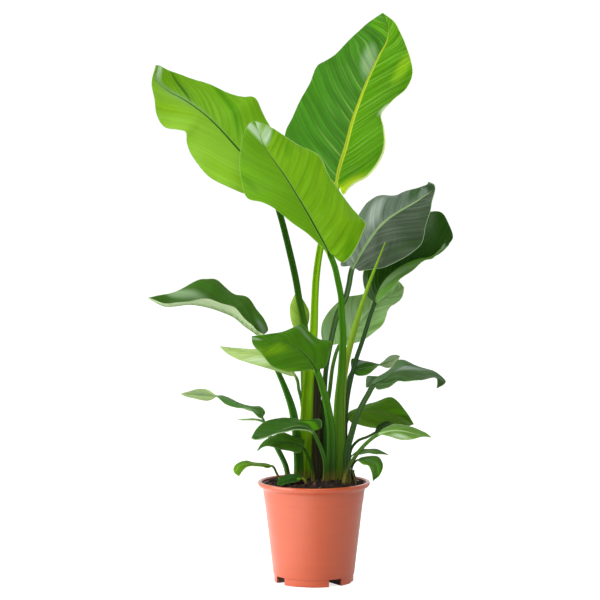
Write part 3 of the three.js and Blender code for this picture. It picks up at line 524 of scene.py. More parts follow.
@dataclass(frozen=True)
class Peat:
    """Milled peat with fibres: matt, near black where damp, red-brown where it has dried."""

    name: str
    damp: str = "0A0604"
    dry: str = "2E190F"
    pale: str = "7A4E32"
    patch: float = 12.5  # width of a damp or dry patch
    crumb: float = 2.0  # width of a crumb

    def material(self) -> bpy.types.Material:
        """Builds the finish, which reads the attribute "tone" where the piece has one.

        Returns:
            The material.
        """
        made, node = new_material(f"peat_{self.name}")
        here = node("ShaderNodeTexCoord").outputs["Object"]
        patch = node("ShaderNodeTexNoise", {"Vector": here, "Scale": 1 / (self.patch * MM), "Detail": 3.0})
        crumb = node("ShaderNodeTexNoise", {"Vector": here, "Scale": 1 / (self.crumb * MM), "Detail": 3.0})
        tone = node("ShaderNodeAttribute", attribute_name="tone").outputs["Fac"]
        mixed = node(MATH, (patch, crumb), operation="MULTIPLY")
        dried = node(RANGE, (mixed, 0.16, 0.42))
        dried = node(MATH, (dried, tone), operation="ADD", use_clamp=True)
        ground = node(MIX, {0: dried, 6: linear(self.damp), 7: linear(self.dry)}, **COLOUR)
        bright = node(RANGE, (tone, 0.8, 1.0))
        colour = node(MIX, {0: bright, 6: ground, 7: linear(self.pale)}, **COLOUR)
        bump = node("ShaderNodeBump", {"Strength": 0.8, "Distance": 1.5 * MM, "Height": crumb})
        body = node("ShaderNodeBsdfPrincipled", {"Base Color": colour, "Roughness": 0.9, "Normal": bump})
        node("ShaderNodeOutputMaterial", {"Surface": body})
        return made


# ---- Leaves ----


class SmoothLine:
    """A smooth line through points, read by distance along it (a centripetal Catmull-Rom curve)."""

    PER_SPAN = 40

    def __init__(self, points: list[np.ndarray]) -> None:
        """Draws the line.

        Args:
            points: The points that it goes through, in millimetres.
        """
        p = np.array([2 * points[0] - points[1], *points, 2 * points[-1] - points[-2]])
        knots = np.concatenate([[0], np.cumsum(np.linalg.norm(np.diff(p, axis=0), axis=1) ** 0.5)])
        steps = np.arange(self.PER_SPAN)[:, None] / self.PER_SPAN
        spans = []
        for i in range(1, len(p) - 2):
            (t0, t1, t2, t3), (p0, p1, p2, p3) = knots[i - 1 : i + 3], p[i - 1 : i + 3]
            t = t1 + (t2 - t1) * steps
            a1 = ((t1 - t) * p0 + (t - t0) * p1) / (t1 - t0)
            a2 = ((t2 - t) * p1 + (t - t1) * p2) / (t2 - t1)
            a3 = ((t3 - t) * p2 + (t - t2) * p3) / (t3 - t2)
            b1 = ((t2 - t) * a1 + (t - t0) * a2) / (t2 - t0)
            b2 = ((t3 - t) * a2 + (t - t1) * a3) / (t3 - t1)
            spans.append(((t2 - t) * b1 + (t - t1) * b2) / (t2 - t1))
        self.points = np.concatenate([*spans, p[-2:-1]])
        self.reach = np.concatenate([[0], np.cumsum(np.linalg.norm(np.diff(self.points, axis=0), axis=1))])
        self.length = float(self.reach[-1])

    def at(self, distance: np.ndarray) -> np.ndarray:
        """Points at the given distances."""
        return np.stack([np.interp(distance, self.reach, self.points[:, k]) for k in range(3)], axis=-1)

    def heading(self, distance: np.ndarray) -> np.ndarray:
        """Works out the line's directions.

        Args:
            distance: Distances along the line.

        Returns:
            The direction at each, of length 1.
        """
        gap = 0.004 * self.length
        ahead, behind = np.minimum(distance + gap, self.length), np.maximum(distance - gap, 0)
        return unit(self.at(ahead) - self.at(behind))


class Fineness(Enum):
    """Rings on the stalk, rows on the blade, columns on each half, their crowding, the neck's share."""

    LARGE = (44, 160, 26, 1.5, 0.125)
    MEDIUM = (34, 110, 18, 1.4, 0.167)
    SMALL = (22, 72, 12, 1.3, 0.222)


class Section(Enum):
    """How a stalk's cross-section is shaped."""

    GROOVED = "grooved"
    ROLLED = "rolled"
    FURROWED = "furrowed"


@dataclass
class Sightline:
    """The line of sight that leaf points are read on: a sheet square to it, through the pot's axis."""

    eye: np.ndarray = field(default_factory=lambda: np.array([-21.0, -3080.0, 588.0]))
    look_down: float = math.radians(3)
    sheet: float = 3084.0

    def axes(self) -> tuple[np.ndarray, np.ndarray, np.ndarray]:
        """Works out how the sheet lies.

        Returns:
            The direction of sight, the sheet's own upward direction, and its middle.
        """
        look = np.array([0, math.cos(self.look_down), -math.sin(self.look_down)])
        rise = np.array([0, math.sin(self.look_down), math.cos(self.look_down)])
        return look, rise, self.eye + self.sheet * look

    def point(self, reading: Point) -> np.ndarray:
        """Turns a reading on the sheet to a point.

        Args:
            reading: Its x and height on the sheet, and its true depth.

        Returns:
            The point at that depth.
        """
        _, rise, centre = self.axes()
        on_sheet = centre + np.array([reading[0] - centre[0], 0, 0]) + (reading[1] - centre[2]) * rise
        share = (reading[2] - self.eye[1]) / (on_sheet[1] - self.eye[1])
        return self.eye + share * (on_sheet - self.eye)

    def readings(self, points: np.ndarray) -> np.ndarray:
        """Turns points to their readings on the sheet.

        Args:
            points: The points.

        Returns:
            The x and height of each.
        """
        look, rise, centre = self.axes()
        away = points - self.eye
        on_sheet = away * (self.sheet / (away @ look))[..., None]
        return np.stack([on_sheet[..., 0] + self.eye[0], on_sheet @ rise + centre[2]], axis=-1)


SIGHT = Sightline()


@dataclass
class Leaf:
    """One leaf, stalk and blade in one piece, as it grew.

    stalk and rib are the middle line, and left and right the margins from the blade's base to its
    tip, as seen on the upper side with the tip up. Readings are (x, height, depth) on the sheet.
    """

    node: str
    slot: str
    foot: Pair
    widths: tuple[float, ...]
    finish: LivingLeaf | DriedSheath
    stalk: tuple[Point, ...]
    rib: tuple[Point, ...] = ()
    left: tuple[Point, ...] = ()
    right: tuple[Point, ...] = ()
    wave: Pair = (0.8, 3)  # height of the margin's waves, and how many there are
    fineness: Fineness = Fineness.SMALL
    section: Section = Section.GROOVED
    pleat: Pair = (0.35, 9.0)  # height and spacing of the folds between side veins
    thickness: float = 0.7
    patches: tuple[Patch, ...] = ()
    sweep: tuple[Pair, Pair] = ((0.7, 1.3), (0.7, 1.3))  # lean of the side veins at base and tip, each half
    closer: Pair = (1, 1)  # how much closer the folds lie than the spacing, left and right

    def middle(self, soil: "PeatBed") -> tuple[SmoothLine, float]:
        """Draws the middle line from the stalk's foot to the tip.

        Args:
            soil: The soil that the stalk stands in.

        Returns:
            The line, and the distance along it where the blade starts.
        """
        x, y = self.foot
        feet = [np.array([x, y, STALK_BOTTOM]), np.array([x, y, soil.height(x, y) + 3])]
        lower = feet + [SIGHT.point(q) for q in self.stalk]
        line = SmoothLine(lower + [SIGHT.point(q) for q in self.rib])
        start = float(line.reach[len(lower) * SmoothLine.PER_SPAN]) if self.rib else line.length
        return line, start

    def ring(
        self, centre: np.ndarray, heading: np.ndarray, up: np.ndarray, radius: float, columns: int
    ) -> np.ndarray:
        """Points round a stalk: the upper side from left to right, then the lower side back.

        Args:
            centre: The middle of the ring.
            heading: The stalk's direction.
            up: The direction of its upper side.
            radius: Half its width.
            columns: Columns on each half of the upper side.

        Returns:
            An array of 2 * (2 * columns + 1) points.
        """
        count = 2 * columns + 1
        place = (np.arange(count) + 0.5) / count
        angle = math.pi * (1 - place)
        wide, tall = np.cos(angle), np.sin(angle)
        if self.section is Section.ROLLED:
            top = 0.9 * tall * (1 - 0.1 * place) - 0.07 * smoothstep(place, 0.6, 0.63)
            low = 0.9 * tall * (0.8 - 0.1 * (1 - place))
        elif self.section is Section.FURROWED:
            top = 0.28 * tall + 0.05 * tall * np.sin(31 * place)
            low = 0.77 * tall + 0.06 * tall * np.sin(27 * place + 1)
        else:
            top = 0.28 * tall - 0.3 * np.clip(1 - (wide / 0.6) ** 2, 0, 1)
            low = 0.77 * tall
        across = np.cross(heading, up)
        sideways = centre + radius * wide[:, None] * across
        upper = sideways + radius * top[:, None] * up
        lower = sideways - radius * low[:, None] * up
        return np.concatenate([upper, lower[::-1]])

    def blade(
        self, line: SmoothLine, start: float, stations: np.ndarray, shares: np.ndarray
    ) -> dict[str, np.ndarray]:
        """Lays a grid over the middle of the blade.

        Args:
            line: The leaf's middle line.
            start: Where the blade starts on it.
            stations: Shares of the blade's length, one for each row.
            shares: Places across a row, from -1 at the left margin to 1 at the right one.

        Returns:
            The grid's points and upward normals, and for each point the distance across the
            blade, its side-vein coordinate and its distance from the margin.
        """
        distance = start + (line.length - start) * stations
        rib, heading = line.at(distance), line.heading(distance)
        base, tip = line.at(np.array(start)), line.at(np.array(line.length))
        rows, cols = len(stations), len(shares)
        points = np.repeat(rib[:, None], cols, axis=1)
        across, vein, edge = (np.zeros((rows, cols)) for _ in range(3))
        height, count = self.wave
        steady = np.searchsorted(stations, [0.06, 0.97])
        for side, readings, phase in ((-1, self.left, 0.3), (1, self.right, 0.8)):
            margin = SmoothLine([base, *(SIGHT.point(q) for q in readings), tip])
            span = margin.at(margin.length * stations) - rib
            width = np.linalg.norm(span, axis=1)
            up = unit(np.cross(span * side, heading))
            up[: steady[0]], up[steady[1] :] = up[steady[0]], up[steady[1] - 1]
            lean = np.sum(span * heading, axis=1) / (width + 1e-9)
            pick = np.nonzero(shares * side > 0)[0]
            share = np.abs(shares[pick])
            out = width[:, None] * share
            # Side veins leave the midrib at an angle and sweep more and more towards the tip.
            low, high = self.sweep[int(side > 0)]
            closer = self.closer[int(side > 0)]
            swept = (low + (high - low) * stations)[:, None]
            slope = lean[:, None] - swept * np.sqrt(np.clip(1 - lean[:, None] ** 2, 0, 1))
            veins = (distance - start)[:, None] + out * slope - 0.15 * out * share
            marked = closer * veins + HALVES_APART * (side > 0)
            # A half is puffed up a little, waved at its margin and folded between its side veins.
            puff = 4 * share * (1 - share) * 0.06 * width[:, None]
            ripple = height * share**2 * np.sin(2 * math.pi * (count * stations + phase))[:, None]
            turns = 2 * math.pi * marked / self.pleat[1] + STRAY[0] * np.sin(marked / STRAY[1])
            fold = self.pleat[0] / closer**2 * np.sin(turns)
            fold = fold * smoothstep(share, 0.02, 0.15) * (1 - 0.6 * share**3)
            fold = fold * np.clip(width / 25, 0, 1)[:, None]
            lift = puff + ripple * np.minimum(width / 20, 1)[:, None] + fold
            flat = rib[:, None] + share[None, :, None] * span[:, None]
            points[:, pick] = flat + lift[..., None] * up[:, None]
            across[:, pick] = side * out
            vein[:, pick] = marked
            edge[:, pick] = width[:, None] - out
        middle = cols // 2
        edge[:, middle] = NO_MARGIN
        vein[:, middle] = distance - start
        normal = unit(np.cross(np.gradient(points, axis=1), np.gradient(points, axis=0)))
        return {"points": points, "normal": normal, "across": across, "vein": vein, "edge": edge}

    def stalk_rings(self, line: SmoothLine, start: float, up: np.ndarray, last: int) -> list[Ring]:
        """Lays rings along the stalk.

        Args:
            line: The leaf's middle line.
            start: Where the blade starts on it.
            up: The direction of the stalk's upper side at its top.
            last: The number of the top ring.

        Returns:
            The rings from the foot up.
        """
        rings, _, columns, _, _ = self.fineness.value
        count = 2 * columns + 1
        loop = 2 * count
        face = np.repeat([1.0, 0.0], count)
        made = []
        for ring in range(last, -1, -1):
            share = ring / rings
            at = np.array(start * share)
            heading = line.heading(at)
            up = unit(up - up @ heading * heading)
            radius = float(np.interp(share, np.linspace(0, 1, len(self.widths)), self.widths)) / 2
            around = self.ring(line.at(at), heading, up, radius, columns)
            wide = np.cos(math.pi * (1 - (np.arange(count) + 0.5) / count)) * radius
            aside = np.concatenate([wide, wide[::-1] + UNDERSIDE_APART])
            place = np.stack([aside, np.full(loop, start * (share - 1)), np.zeros(loop)], axis=1)
            zone = np.stack([face, np.full(loop, NO_MARGIN), np.full(loop, share - 1.001)], axis=1)
            made.append((around, place, zone))
        return made[::-1]

    def blade_rings(
        self, line: SmoothLine, start: float, stations: np.ndarray, shares: np.ndarray,
        grid: dict[str, np.ndarray], neck_up: np.ndarray,
    ) -> list[Ring]:
        """Lays rings along the blade, which grow out of the stalk's own cross-section.

        Args:
            line: The leaf's middle line.
            start: Where the blade starts on it.
            stations: Shares of the blade's length, one for each ring.
            shares: Places across a row of the grid.
            grid: The grid over the middle of the blade.
            neck_up: The direction of the upper side at the neck.

        Returns:
            The rings from the neck to just before the tip.
        """
        columns, loop = len(shares) // 2, 2 * len(shares)
        face = np.repeat([1.0, 0.0], len(shares))
        first_normal = int(0.06 * len(stations))
        top_width = self.widths[-1]
        thin = self.thickness / 2 * (1 - 0.45 * smoothstep(np.abs(shares), 0.8, 1))
        made = []
        for row, station in enumerate(stations):
            distance = start + (line.length - start) * station
            heading = line.heading(np.array(distance))
            mixed = float(smoothstep(station, 0, 0.07))
            up = neck_up if station < 0.1 else grid["normal"][row, columns]
            up = unit(up - up @ heading * heading)
            radius = top_width / 2 * (1 - 0.3 * mixed)
            neck = self.ring(grid["points"][row, columns], heading, up, radius, columns)
            # The midrib stands proud below the blade, and its groove is sunk into the upper side.
            normal = grid["normal"][max(row, first_normal)]
            half = top_width * (1 - 0.8 * station) * 0.5
            keel = 1.1 * half * np.sqrt(np.clip(1 - (grid["across"][row] / half) ** 2, 0, 1))
            groove = 0.22 * half * np.clip(1 - (grid["across"][row] / (0.4 * half)) ** 2, 0, 1)
            upper = grid["points"][row] + (thin - groove)[:, None] * normal
            lower = grid["points"][row] - (thin + keel)[:, None] * normal
            around = neck * (1 - mixed) + np.concatenate([upper, lower[::-1]]) * mixed
            across, vein, edge = (
                np.concatenate([grid[key][row], grid[key][row][::-1]]) for key in ("across", "vein", "edge")
            )
            place = np.stack([across, np.full(loop, distance - start), vein], axis=1)
            zone = np.stack([face, edge + NO_MARGIN * (1 - mixed), np.full(loop, station)], axis=1)
            made.append((around, place, zone))
        return made

    def surface(self, soil: "PeatBed") -> tuple[np.ndarray, np.ndarray, np.ndarray, int]:
        """Works out the leaf's closed surface as rings of points.

        Args:
            soil: The soil that the stalk stands in.

        Returns:
            The points, the two attributes of each, and the number of points in a ring. The last
            point is the tip.
        """
        rings, rows, columns, crowd, neck_share = self.fineness.value
        line, start = self.middle(soil)
        if self.rib:
            steps = np.arange(rows) / rows
            stations = 0.6 * steps + 0.2 * (1 - np.cos(math.pi * steps))
            middle = np.arange(-columns, columns + 1) / columns
            shares = np.sign(middle) * np.abs(middle) ** crowd
            grid = self.blade(line, start, stations, shares)
            up = grid["normal"][int(neck_share * rows), columns]
            made = self.stalk_rings(line, start, up, rings - 1)
            made += self.blade_rings(line, start, stations, shares, grid, up)
        else:
            made = self.stalk_rings(line, start, np.array([0.0, -1.0, 0.0]), rings)
        points, place, zone = (list(part) for part in zip(*made))
        points.append(line.at(np.array([line.length])))
        place.append(place[-1][columns : columns + 1])
        zone.append(zone[-1][columns : columns + 1])
        return np.concatenate(points), np.concatenate(place), np.concatenate(zone), 4 * columns + 2

    def spots(self, soil: "PeatBed") -> list[Spot]:
        """Finds where on the blade each patch lies.

        Args:
            soil: The soil that the stalk stands in.

        Returns:
            Each patch after its distance from the midrib and its side-vein coordinate.
        """
        if not self.patches:
            return []
        grid = self.blade(*self.middle(soil), np.linspace(0.01, 0.98, 120), np.linspace(-0.99, 0.99, 60))
        seen = SIGHT.readings(grid["points"])
        found = []
        for patch in self.patches:
            gap = np.hypot(seen[..., 0] - patch.x, seen[..., 1] - patch.height)
            at = np.unravel_index(int(np.argmin(gap)), gap.shape)
            across = float(grid["across"][at])
            closer = self.closer[int(across > 0)]
            found.append((across, float(grid["vein"][at]), replace(patch, over=patch.over * closer)))
        return found

    def build(self, soil: "PeatBed") -> bpy.types.Object:
        """Makes the leaf and gives it its finish.

        Args:
            soil: The soil that the stalk stands in.

        Returns:
            The leaf, fixed to the plant.
        """
        points, place, zone, loop = self.surface(soil)
        rings = (len(points) - 1) // loop
        faces = [(c, loop - 1 - c, loop - 2 - c, c + 1) for c in range(loop // 2 - 1)]
        for ring in range(rings - 1):
            low, high = ring * loop, (ring + 1) * loop
            faces += [(low + i, low + (i + 1) % loop, high + (i + 1) % loop, high + i) for i in range(loop)]
        end = (rings - 1) * loop
        faces += [(end + i, end + (i + 1) % loop, len(points) - 1) for i in range(loop)]
        material = self.finish.material(self.pleat[1], self.spots(soil))
        made = new_object(f"fine_{self.node}", points, faces, material)
        for name, values in (("place", place), ("zone", zone)):
            layer = made.data.attributes.new(name, "FLOAT_VECTOR", "POINT")
            layer.data.foreach_set("vector", values.astype(np.float32).ravel())
        settle(made, self.slot, self.node)
        return made


LEAVES: tuple[Leaf, ...] = (
    Leaf(
        "leaf_top_left", "leaf_bright", foot=(-4, 18), widths=(13, 12, 11, 11, 10), wave=(1.5, 5),
        fineness=Fineness.LARGE, sweep=((2.0, 2.4), (0.7, 1.9)), closer=(3, 1), pleat=(0.6, 14),
        finish=LivingLeaf("top_left", left="A4D640", right="84BC22", under="A9C878", rib="8CBC50",
            line="1E4A08", margin="B8D884", stalk_low="6C981C", stalk_high="33661C", vein="A4CC70", veins=0.2,
            bands=0.5, panels=0.2, glow=0.4, rib_half=4.4),
        stalk=((-4, 246, 22), (-7, 306, 24), (-10, 351, 27), (-13, 381, 30), (-22, 427, 37), (-27, 457, 42),
            (-39, 510, 51), (-51, 556, 57)),
        rib=((-62, 588, 60), (-87, 626, 62), (-113, 653, 64), (-149, 692, 66), (-172, 712, 66),
            (-195, 728, 64), (-225, 745, 58), (-240, 760, 50), (-238, 781, 40)),
        left=((-81, 587, 50), (-106, 587, 40), (-139, 602, 32), (-164, 617, 30), (-184, 645, 30),
            (-192, 665, 33), (-194, 679, 35), (-205, 683, 36), (-225, 688, 34), (-238, 707, 32),
            (-241, 731, 32), (-244, 762, 36)),
        right=((-51, 615, 74), (-56, 653, 83), (-60, 677, 88), (-68, 692, 92), (-78, 712, 97), (-87, 729, 99),
            (-93, 733, 99.5), (-106, 733, 100), (-127, 739, 98), (-164, 754, 92), (-195, 765, 82),
            (-217, 772, 68), (-232, 780, 52)),
        patches=(Patch(-232, 777, 13, 17, Tint.BLANCHED, 0.9), Patch(-202, 748, 16, 8, Tint.DEEP_AND_SHADE, 0.8),
            Patch(-124, 719, 28, 14, Tint.FRESH, 0.85), Patch(-225, 716, 26, 26, Tint.YOUNG, 0.7),
            Patch(-205, 733, 7, 40, Tint.BLOOM, 0.5), Patch(-124, 614, 14, 22, Tint.YOUNG, 0.5)),
    ),
    Leaf(
        "leaf_top_right", "leaf_mid", foot=(-18, 5), widths=(28, 26, 21, 19.5, 13, 11.5, 11, 11, 12),
        wave=(1.5, 6), fineness=Fineness.LARGE, sweep=((0.7, 0.8), (0.8, 1.4)), closer=(1, 2),
        pleat=(0.6, 16),
        finish=LivingLeaf("top_right", left="468420", right="56960A", under="8FB86A", rib="C8D83C",
            line="B0C834", margin="D8E89C", stalk_low="6E9C0A", stalk_high="7CB006", vein="A0C464",
            veins=0.45, bands=0.9, panels=0.4, roughness=0.4, specular=0.06, glow=0.2, rib_half=4.8,
            hem=(0.2, 1.7), hem_fade=0.75),
        stalk=((-17, 182, 5), (-13, 215, 5), (-10, 261, 6), (-7, 313, 8), (-1, 369, 13), (3, 457, 24),
            (9, 502, 32), (21, 555, 42)),
        rib=((33, 596, 48), (40, 630, 58), (49, 660, 68), (58, 695, 78), (68, 724, 88), (79, 753, 98),
            (89, 775, 106), (100, 798, 113), (110, 817, 119), (112, 837, 124), (104, 860, 128)),
        left=((6, 605, 62), (-24, 630, 76), (-42, 660, 88), (-43, 679, 94), (-32, 704, 102), (-19, 730, 108),
            (-6, 755, 113), (5, 779, 118), (17, 787, 121), (30, 796, 124), (45, 810, 127), (62, 827, 129),
            (80, 844, 131), (92, 852, 131)),
        right=((44, 582, 40), (53, 594, 41), (65, 604, 42), (80, 612, 44), (94, 626, 47), (104, 645, 52),
            (108, 664, 58), (106, 686, 66), (102, 707, 74), (118, 726, 80), (139, 745, 88), (149, 768, 95),
            (147, 786, 100), (139, 811, 108), (131, 830, 115), (122, 846, 122)),
        patches=(Patch(100, 840, 20, 18, Tint.FRESH, 0.7), Patch(94, 817, 12, 10, Tint.DEEP_AND_SHADE, 0.8),
            Patch(82, 786, 16, 26, Tint.BLOOM, 0.6), Patch(137, 783, 12, 34, Tint.YOUNG, 0.6),
            Patch(3, 740, 26, 14, Tint.DEEP_AND_SHADE, 0.4), Patch(44, 591, 24, 15, Tint.COLLAR, 1),
            Patch(109, 713, 7, 8, Tint.BLANCHED, 0.7)),
    ),
    Leaf(
        "leaf_front_large", "leaf_bright", foot=(40, -2), widths=(19, 19, 12.5, 10, 9), wave=(1.2, 5),
        fineness=Fineness.LARGE, sweep=((1.1, 1.6), (0.1, 1.0)), closer=(3, 1), pleat=(0.6, 15),
        finish=LivingLeaf("front_large", left="78B21E", right="88C01E", under="A9C878", rib="90C050",
            line="205008", margin="CCE49C", stalk_low="64902A", stalk_high="4C8A1A", vein="94C44C",
            specular=0.08, veins=0.15, bands=0.5, panels=0.2, glow=0.4, rib_half=4.6, hem=(0.15, 0.8)),
        stalk=((39, 200, -4), (38, 268, -10), (42, 321, -18), (44, 374, -34), (42, 404, -40), (41, 431, -46),
            (36, 457, -52), (32, 475, -56)),
        rib=((26, 491, -60), (6, 529, -62), (-9, 556, -60), (-26, 585, -54), (-44, 614, -44), (-59, 635, -32),
            (-75, 659, -18), (-89, 697, -4)),
        left=((15, 504, -66), (-6, 523, -72), (-26, 538, -76), (-51, 558, -80), (-78, 574, -78),
            (-101, 581, -70), (-109, 605, -58), (-112, 638, -42), (-107, 673, -26), (-98, 692, -10)),
        right=((41, 482, -54), (54, 491, -50), (67, 511, -42), (74, 529, -32), (78, 541, -24), (71, 550, -18),
            (54, 571, -12), (36, 593, -4), (22, 617, 0), (15, 633, 2), (6, 645, 2), (-21, 660, 2),
            (-44, 674, 0), (-72, 691, -2)),
        patches=(Patch(-90, 682, 20, 15, Tint.BLANCHED, 0.95), Patch(-71, 674, 13, 12, Tint.BLANCHED, 0.85),
            Patch(-99, 605, 7, 16, Tint.DEEP_AND_SHADE, 0.35), Patch(-39, 653, 14, 10, Tint.FRESH, 0.6),
            Patch(12, 617, 22, 10, Tint.YOUNG, 0.6), Patch(42, 555, 26, 18, Tint.YOUNG, 0.5),
            Patch(54, 502, 18, 14, Tint.FRESH, 0.6)),
    ),
    Leaf(
        "leaf_grey_green", "leaf_dark", foot=(14, 10), widths=(12, 9, 8, 9, 9), wave=(1, 5),
        fineness=Fineness.MEDIUM, sweep=((0.4, 0.6), (1.7, 2.2)), pleat=(0.4, 14),
        # Its left half's pale grey is painted sheen over the darker green of the right half.
        finish=LivingLeaf("grey_green", left="5A6C5A", right="3A4A34", under="7C9868", rib="8CA870",
            line="7C9A64", margin="7C9A6C", stalk_low="2C4E1C", stalk_high="30521E", vein="6E8670",
            specular=0.2, veins=0.3, bands=0.8, panels=0.4, glow=0.06, roughness=0.3, rib_half=3.6),
        stalk=((11, 215, 14), (15, 276, 14), (18, 321, 12), (23, 351, 10), (29, 381, 8), (36, 408, 6),
            (47, 428, 5), (53, 451, 6)),
        rib=((57, 473, 6), (65, 487, 5), (74, 502, 3), (85, 519, -3), (97, 535, -9), (112, 549, -15),
            (130, 561, -20), (151, 573, -26), (169, 585, -32), (180, 593, -36), (181, 599, -40),
            (177, 602, -44), (172, 604, -47)),
        left=((40, 479, 13), (44, 491, 19), (54, 519, 27), (67, 552, 30), (77, 571, 29), (86, 578, 25),
            (100, 584, 20), (122, 585, 8), (137, 590, -4), (156, 596, -20), (166, 599, -34), (171, 602, -42)),
        right=((67, 470, 0), (88, 473, -10), (107, 476, -18), (130, 487, -26), (148, 498, -32),
            (162, 511, -36), (169, 538, -38), (175, 558, -39), (178, 574, -40), (182, 587, -42),
            (183, 596, -46), (178, 602, -49)),
        patches=(Patch(91, 559, 22, 18, Tint.GREY_SHEEN, 0.9), Patch(153, 590, 14, 18, Tint.SHADED, 0.8),
            Patch(177, 596, 10, 12, Tint.SHADED, 0.9), Patch(57, 484, 12, 14, Tint.GREY_SHEEN, 0.5),
            Patch(142, 510, 14, 26, Tint.SHADED, 0.45)),
    ),
    Leaf(
        "leaf_dark_rear", "leaf_dark", foot=(50, 22), widths=(10, 8, 8, 7), wave=(1, 4),
        fineness=Fineness.MEDIUM, sweep=((1.0, 2.0), (1.0, 2.0)),
        finish=LivingLeaf("dark_rear", left="234A08", right="609434", under="6C9C48", rib="4A7030",
            line="1C3A10", margin="8CB068", stalk_low="26481A", stalk_high="26481A", specular=0.2, veins=0.1,
            glow=0.1),
        stalk=((47, 230, 22), (50, 276, 24), (56, 309, 26), (64, 339, 28), (71, 359, 30), (79, 384, 32),
            (85, 404, 33)),
        rib=((91, 421, 35), (95, 437, 39), (104, 454, 46), (116, 467, 53), (133, 479, 60), (154, 487, 66),
            (172, 490, 72), (190, 498, 78), (204, 511, 84)),
        left=((80, 433, 46), (74, 466, 58), (94, 502, 72), (130, 540, 84), (168, 558, 92), (192, 559, 95),
            (204, 541, 95), (210, 520, 92)),
        right=((95, 421, 25), (109, 436, 20), (128, 455, 22), (150, 473, 30), (168, 486, 42), (180, 491, 54),
            (190, 502, 66), (199, 507, 76)),
        patches=(Patch(119, 464, 16, 26, Tint.BLOOM, 0.35), Patch(195, 507, 6, 8, Tint.BLOOM, 0.8)),
    ),
    Leaf(
        "leaf_left_arching", "leaf_mid", foot=(-22, -10), widths=(19, 18.5, 15, 10, 7), wave=(1.2, 5),
        fineness=Fineness.MEDIUM, sweep=((1.0, 2.0), (1.0, 2.0)), pleat=(0.3, 10),
        finish=LivingLeaf("left_arching", left="4A7C2C", right="466F28", under="C2D8A6", rib="7FA860",
            line="2C5A28", margin="B4CC98", stalk_low="3C7420", stalk_high="4C8A2A", specular=0.2, veins=0.08,
            bands=0.4, panels=0.2),
        stalk=((-23, 200, -10), (-31, 258, -8), (-42, 291, -4), (-55, 321, 0), (-68, 348, 4)),
        rib=((-77, 368, 6), (-87, 378, 5), (-104, 390, 0), (-119, 402, -6), (-142, 412, -16),
            (-164, 418, -26), (-187, 421, -34), (-225, 418, -46), (-250, 430, -56)),
        left=((-75, 375, -6), (-86, 381, -14), (-99, 393, -26), (-112, 408, -38), (-127, 418, -50),
            (-149, 425, -60), (-172, 428, -64), (-202, 422, -66), (-225, 422, -62)),
        right=((-69, 378, 10), (-75, 398, 14), (-86, 413, 16), (-101, 431, 16), (-119, 436, 15),
            (-134, 446, 12), (-149, 458, 6), (-161, 459, 0), (-172, 458, -5), (-195, 446, -16),
            (-220, 436, -30), (-238, 433, -44)),
        patches=(Patch(-202, 436, 16, 26, Tint.BLOOM, 0.65), Patch(-157, 446, 14, 22, Tint.DEEP_AND_SHADE, 0.6),
            Patch(-78, 384, 8, 10, Tint.GREY_SHEEN, 0.5)),
    ),
    Leaf(
        "leaf_front_middle", "leaf_mid", foot=(26, -14), widths=(18, 17, 13, 10), wave=(1, 4),
        fineness=Fineness.MEDIUM, sweep=((0.8, 1.6), (0.8, 1.6)), pleat=(0.35, 10),
        finish=LivingLeaf("front_middle", left="4C8414", right="4A8212", under="A4C488", rib="6C9C38",
            line="2C5A0E", margin="88B45C", stalk_low="3A6022", stalk_high="4C8A1C", veins=0.08, bands=0.5,
            panels=0.2),
        stalk=((27, 185, -17), (26, 230, -22), (21, 264, -32), (15, 288, -44)),
        rib=((5, 318, -58), (-4, 333, -66), (-16, 347, -74), (-29, 356, -82), (-51, 365, -92),
            (-69, 365, -98), (-94, 372, -104)),
        left=((-4, 322, -66), (-21, 319, -80), (-44, 319, -98), (-63, 327, -110), (-81, 347, -116),
            (-93, 362, -112)),
        right=((15, 324, -52), (24, 348, -44), (27, 363, -40), (6, 368, -44), (-7, 380, -50), (-18, 390, -56),
            (-36, 383, -68), (-57, 377, -84), (-78, 374, -98)),
        patches=(Patch(-59, 351, 16, 20, Tint.YOUNG, 0.4), Patch(-86, 368, 8, 8, Tint.BLOOM, 0.8),
            Patch(-16, 378, 8, 10, Tint.BLOOM, 0.4), Patch(-45, 312, 14, 9, Tint.YOUNG, 0.25)),
    ),
    Leaf(
        "leaf_left_pale", "leaf_pale", foot=(-16, 24), widths=(7, 5), sweep=((1.8, 3.0), (1.8, 3.0)),
        finish=LivingLeaf("left_pale", left="7CA04C", right="7CA04C", under="B4CC80", rib="A9C470",
            line="8CB05C", stalk_low="4C7C30", stalk_high="6C9A48", veins=0.15, bands=0.7),
        stalk=((-14, 215, 23), (-16, 249, 22), (-19, 276, 18), (-23, 292, 8)),
        rib=((-27, 310, -10), (-51, 333, -15), (-81, 345, -12), (-112, 348, -6), (-143, 357, 4)),
        left=((-36, 333, -10), (-66, 351, -10), (-99, 353, -4), (-127, 355, 2)),
        right=((-36, 312, -14), (-66, 322, -20), (-89, 329, -18), (-112, 336, -10), (-130, 345, -2)),
        patches=(Patch(-84, 336, 6, 18, Tint.BLANCHED, 0.5),),
    ),
    Leaf(
        "leaf_left_twisted", "leaf_mid", foot=(-38, 4), widths=(14, 12, 7), wave=(1, 3),
        sweep=((1.4, 2.6), (1.4, 2.6)),
        finish=LivingLeaf("left_twisted", left="4C8A2C", right="4C8228", under="B0CC84", rib="8CB474",
            line="24501E", margin="B8D0A0", stalk_low="5A9444", stalk_high="44742C", veins=0.1),
        stalk=((-42, 178, 2), (-53, 200, 0), (-69, 227, -3)),
        rib=((-76, 246, -5), (-84, 258, -8), (-101, 264, -12), (-122, 272, -20), (-146, 282, -28),
            (-172, 284, -38), (-201, 285, -48)),
        left=((-83, 249, -12), (-96, 261, -24), (-115, 263, -33), (-133, 270, -39), (-146, 280, -43),
            (-160, 291, -46), (-175, 293, -49), (-188, 289, -51)),
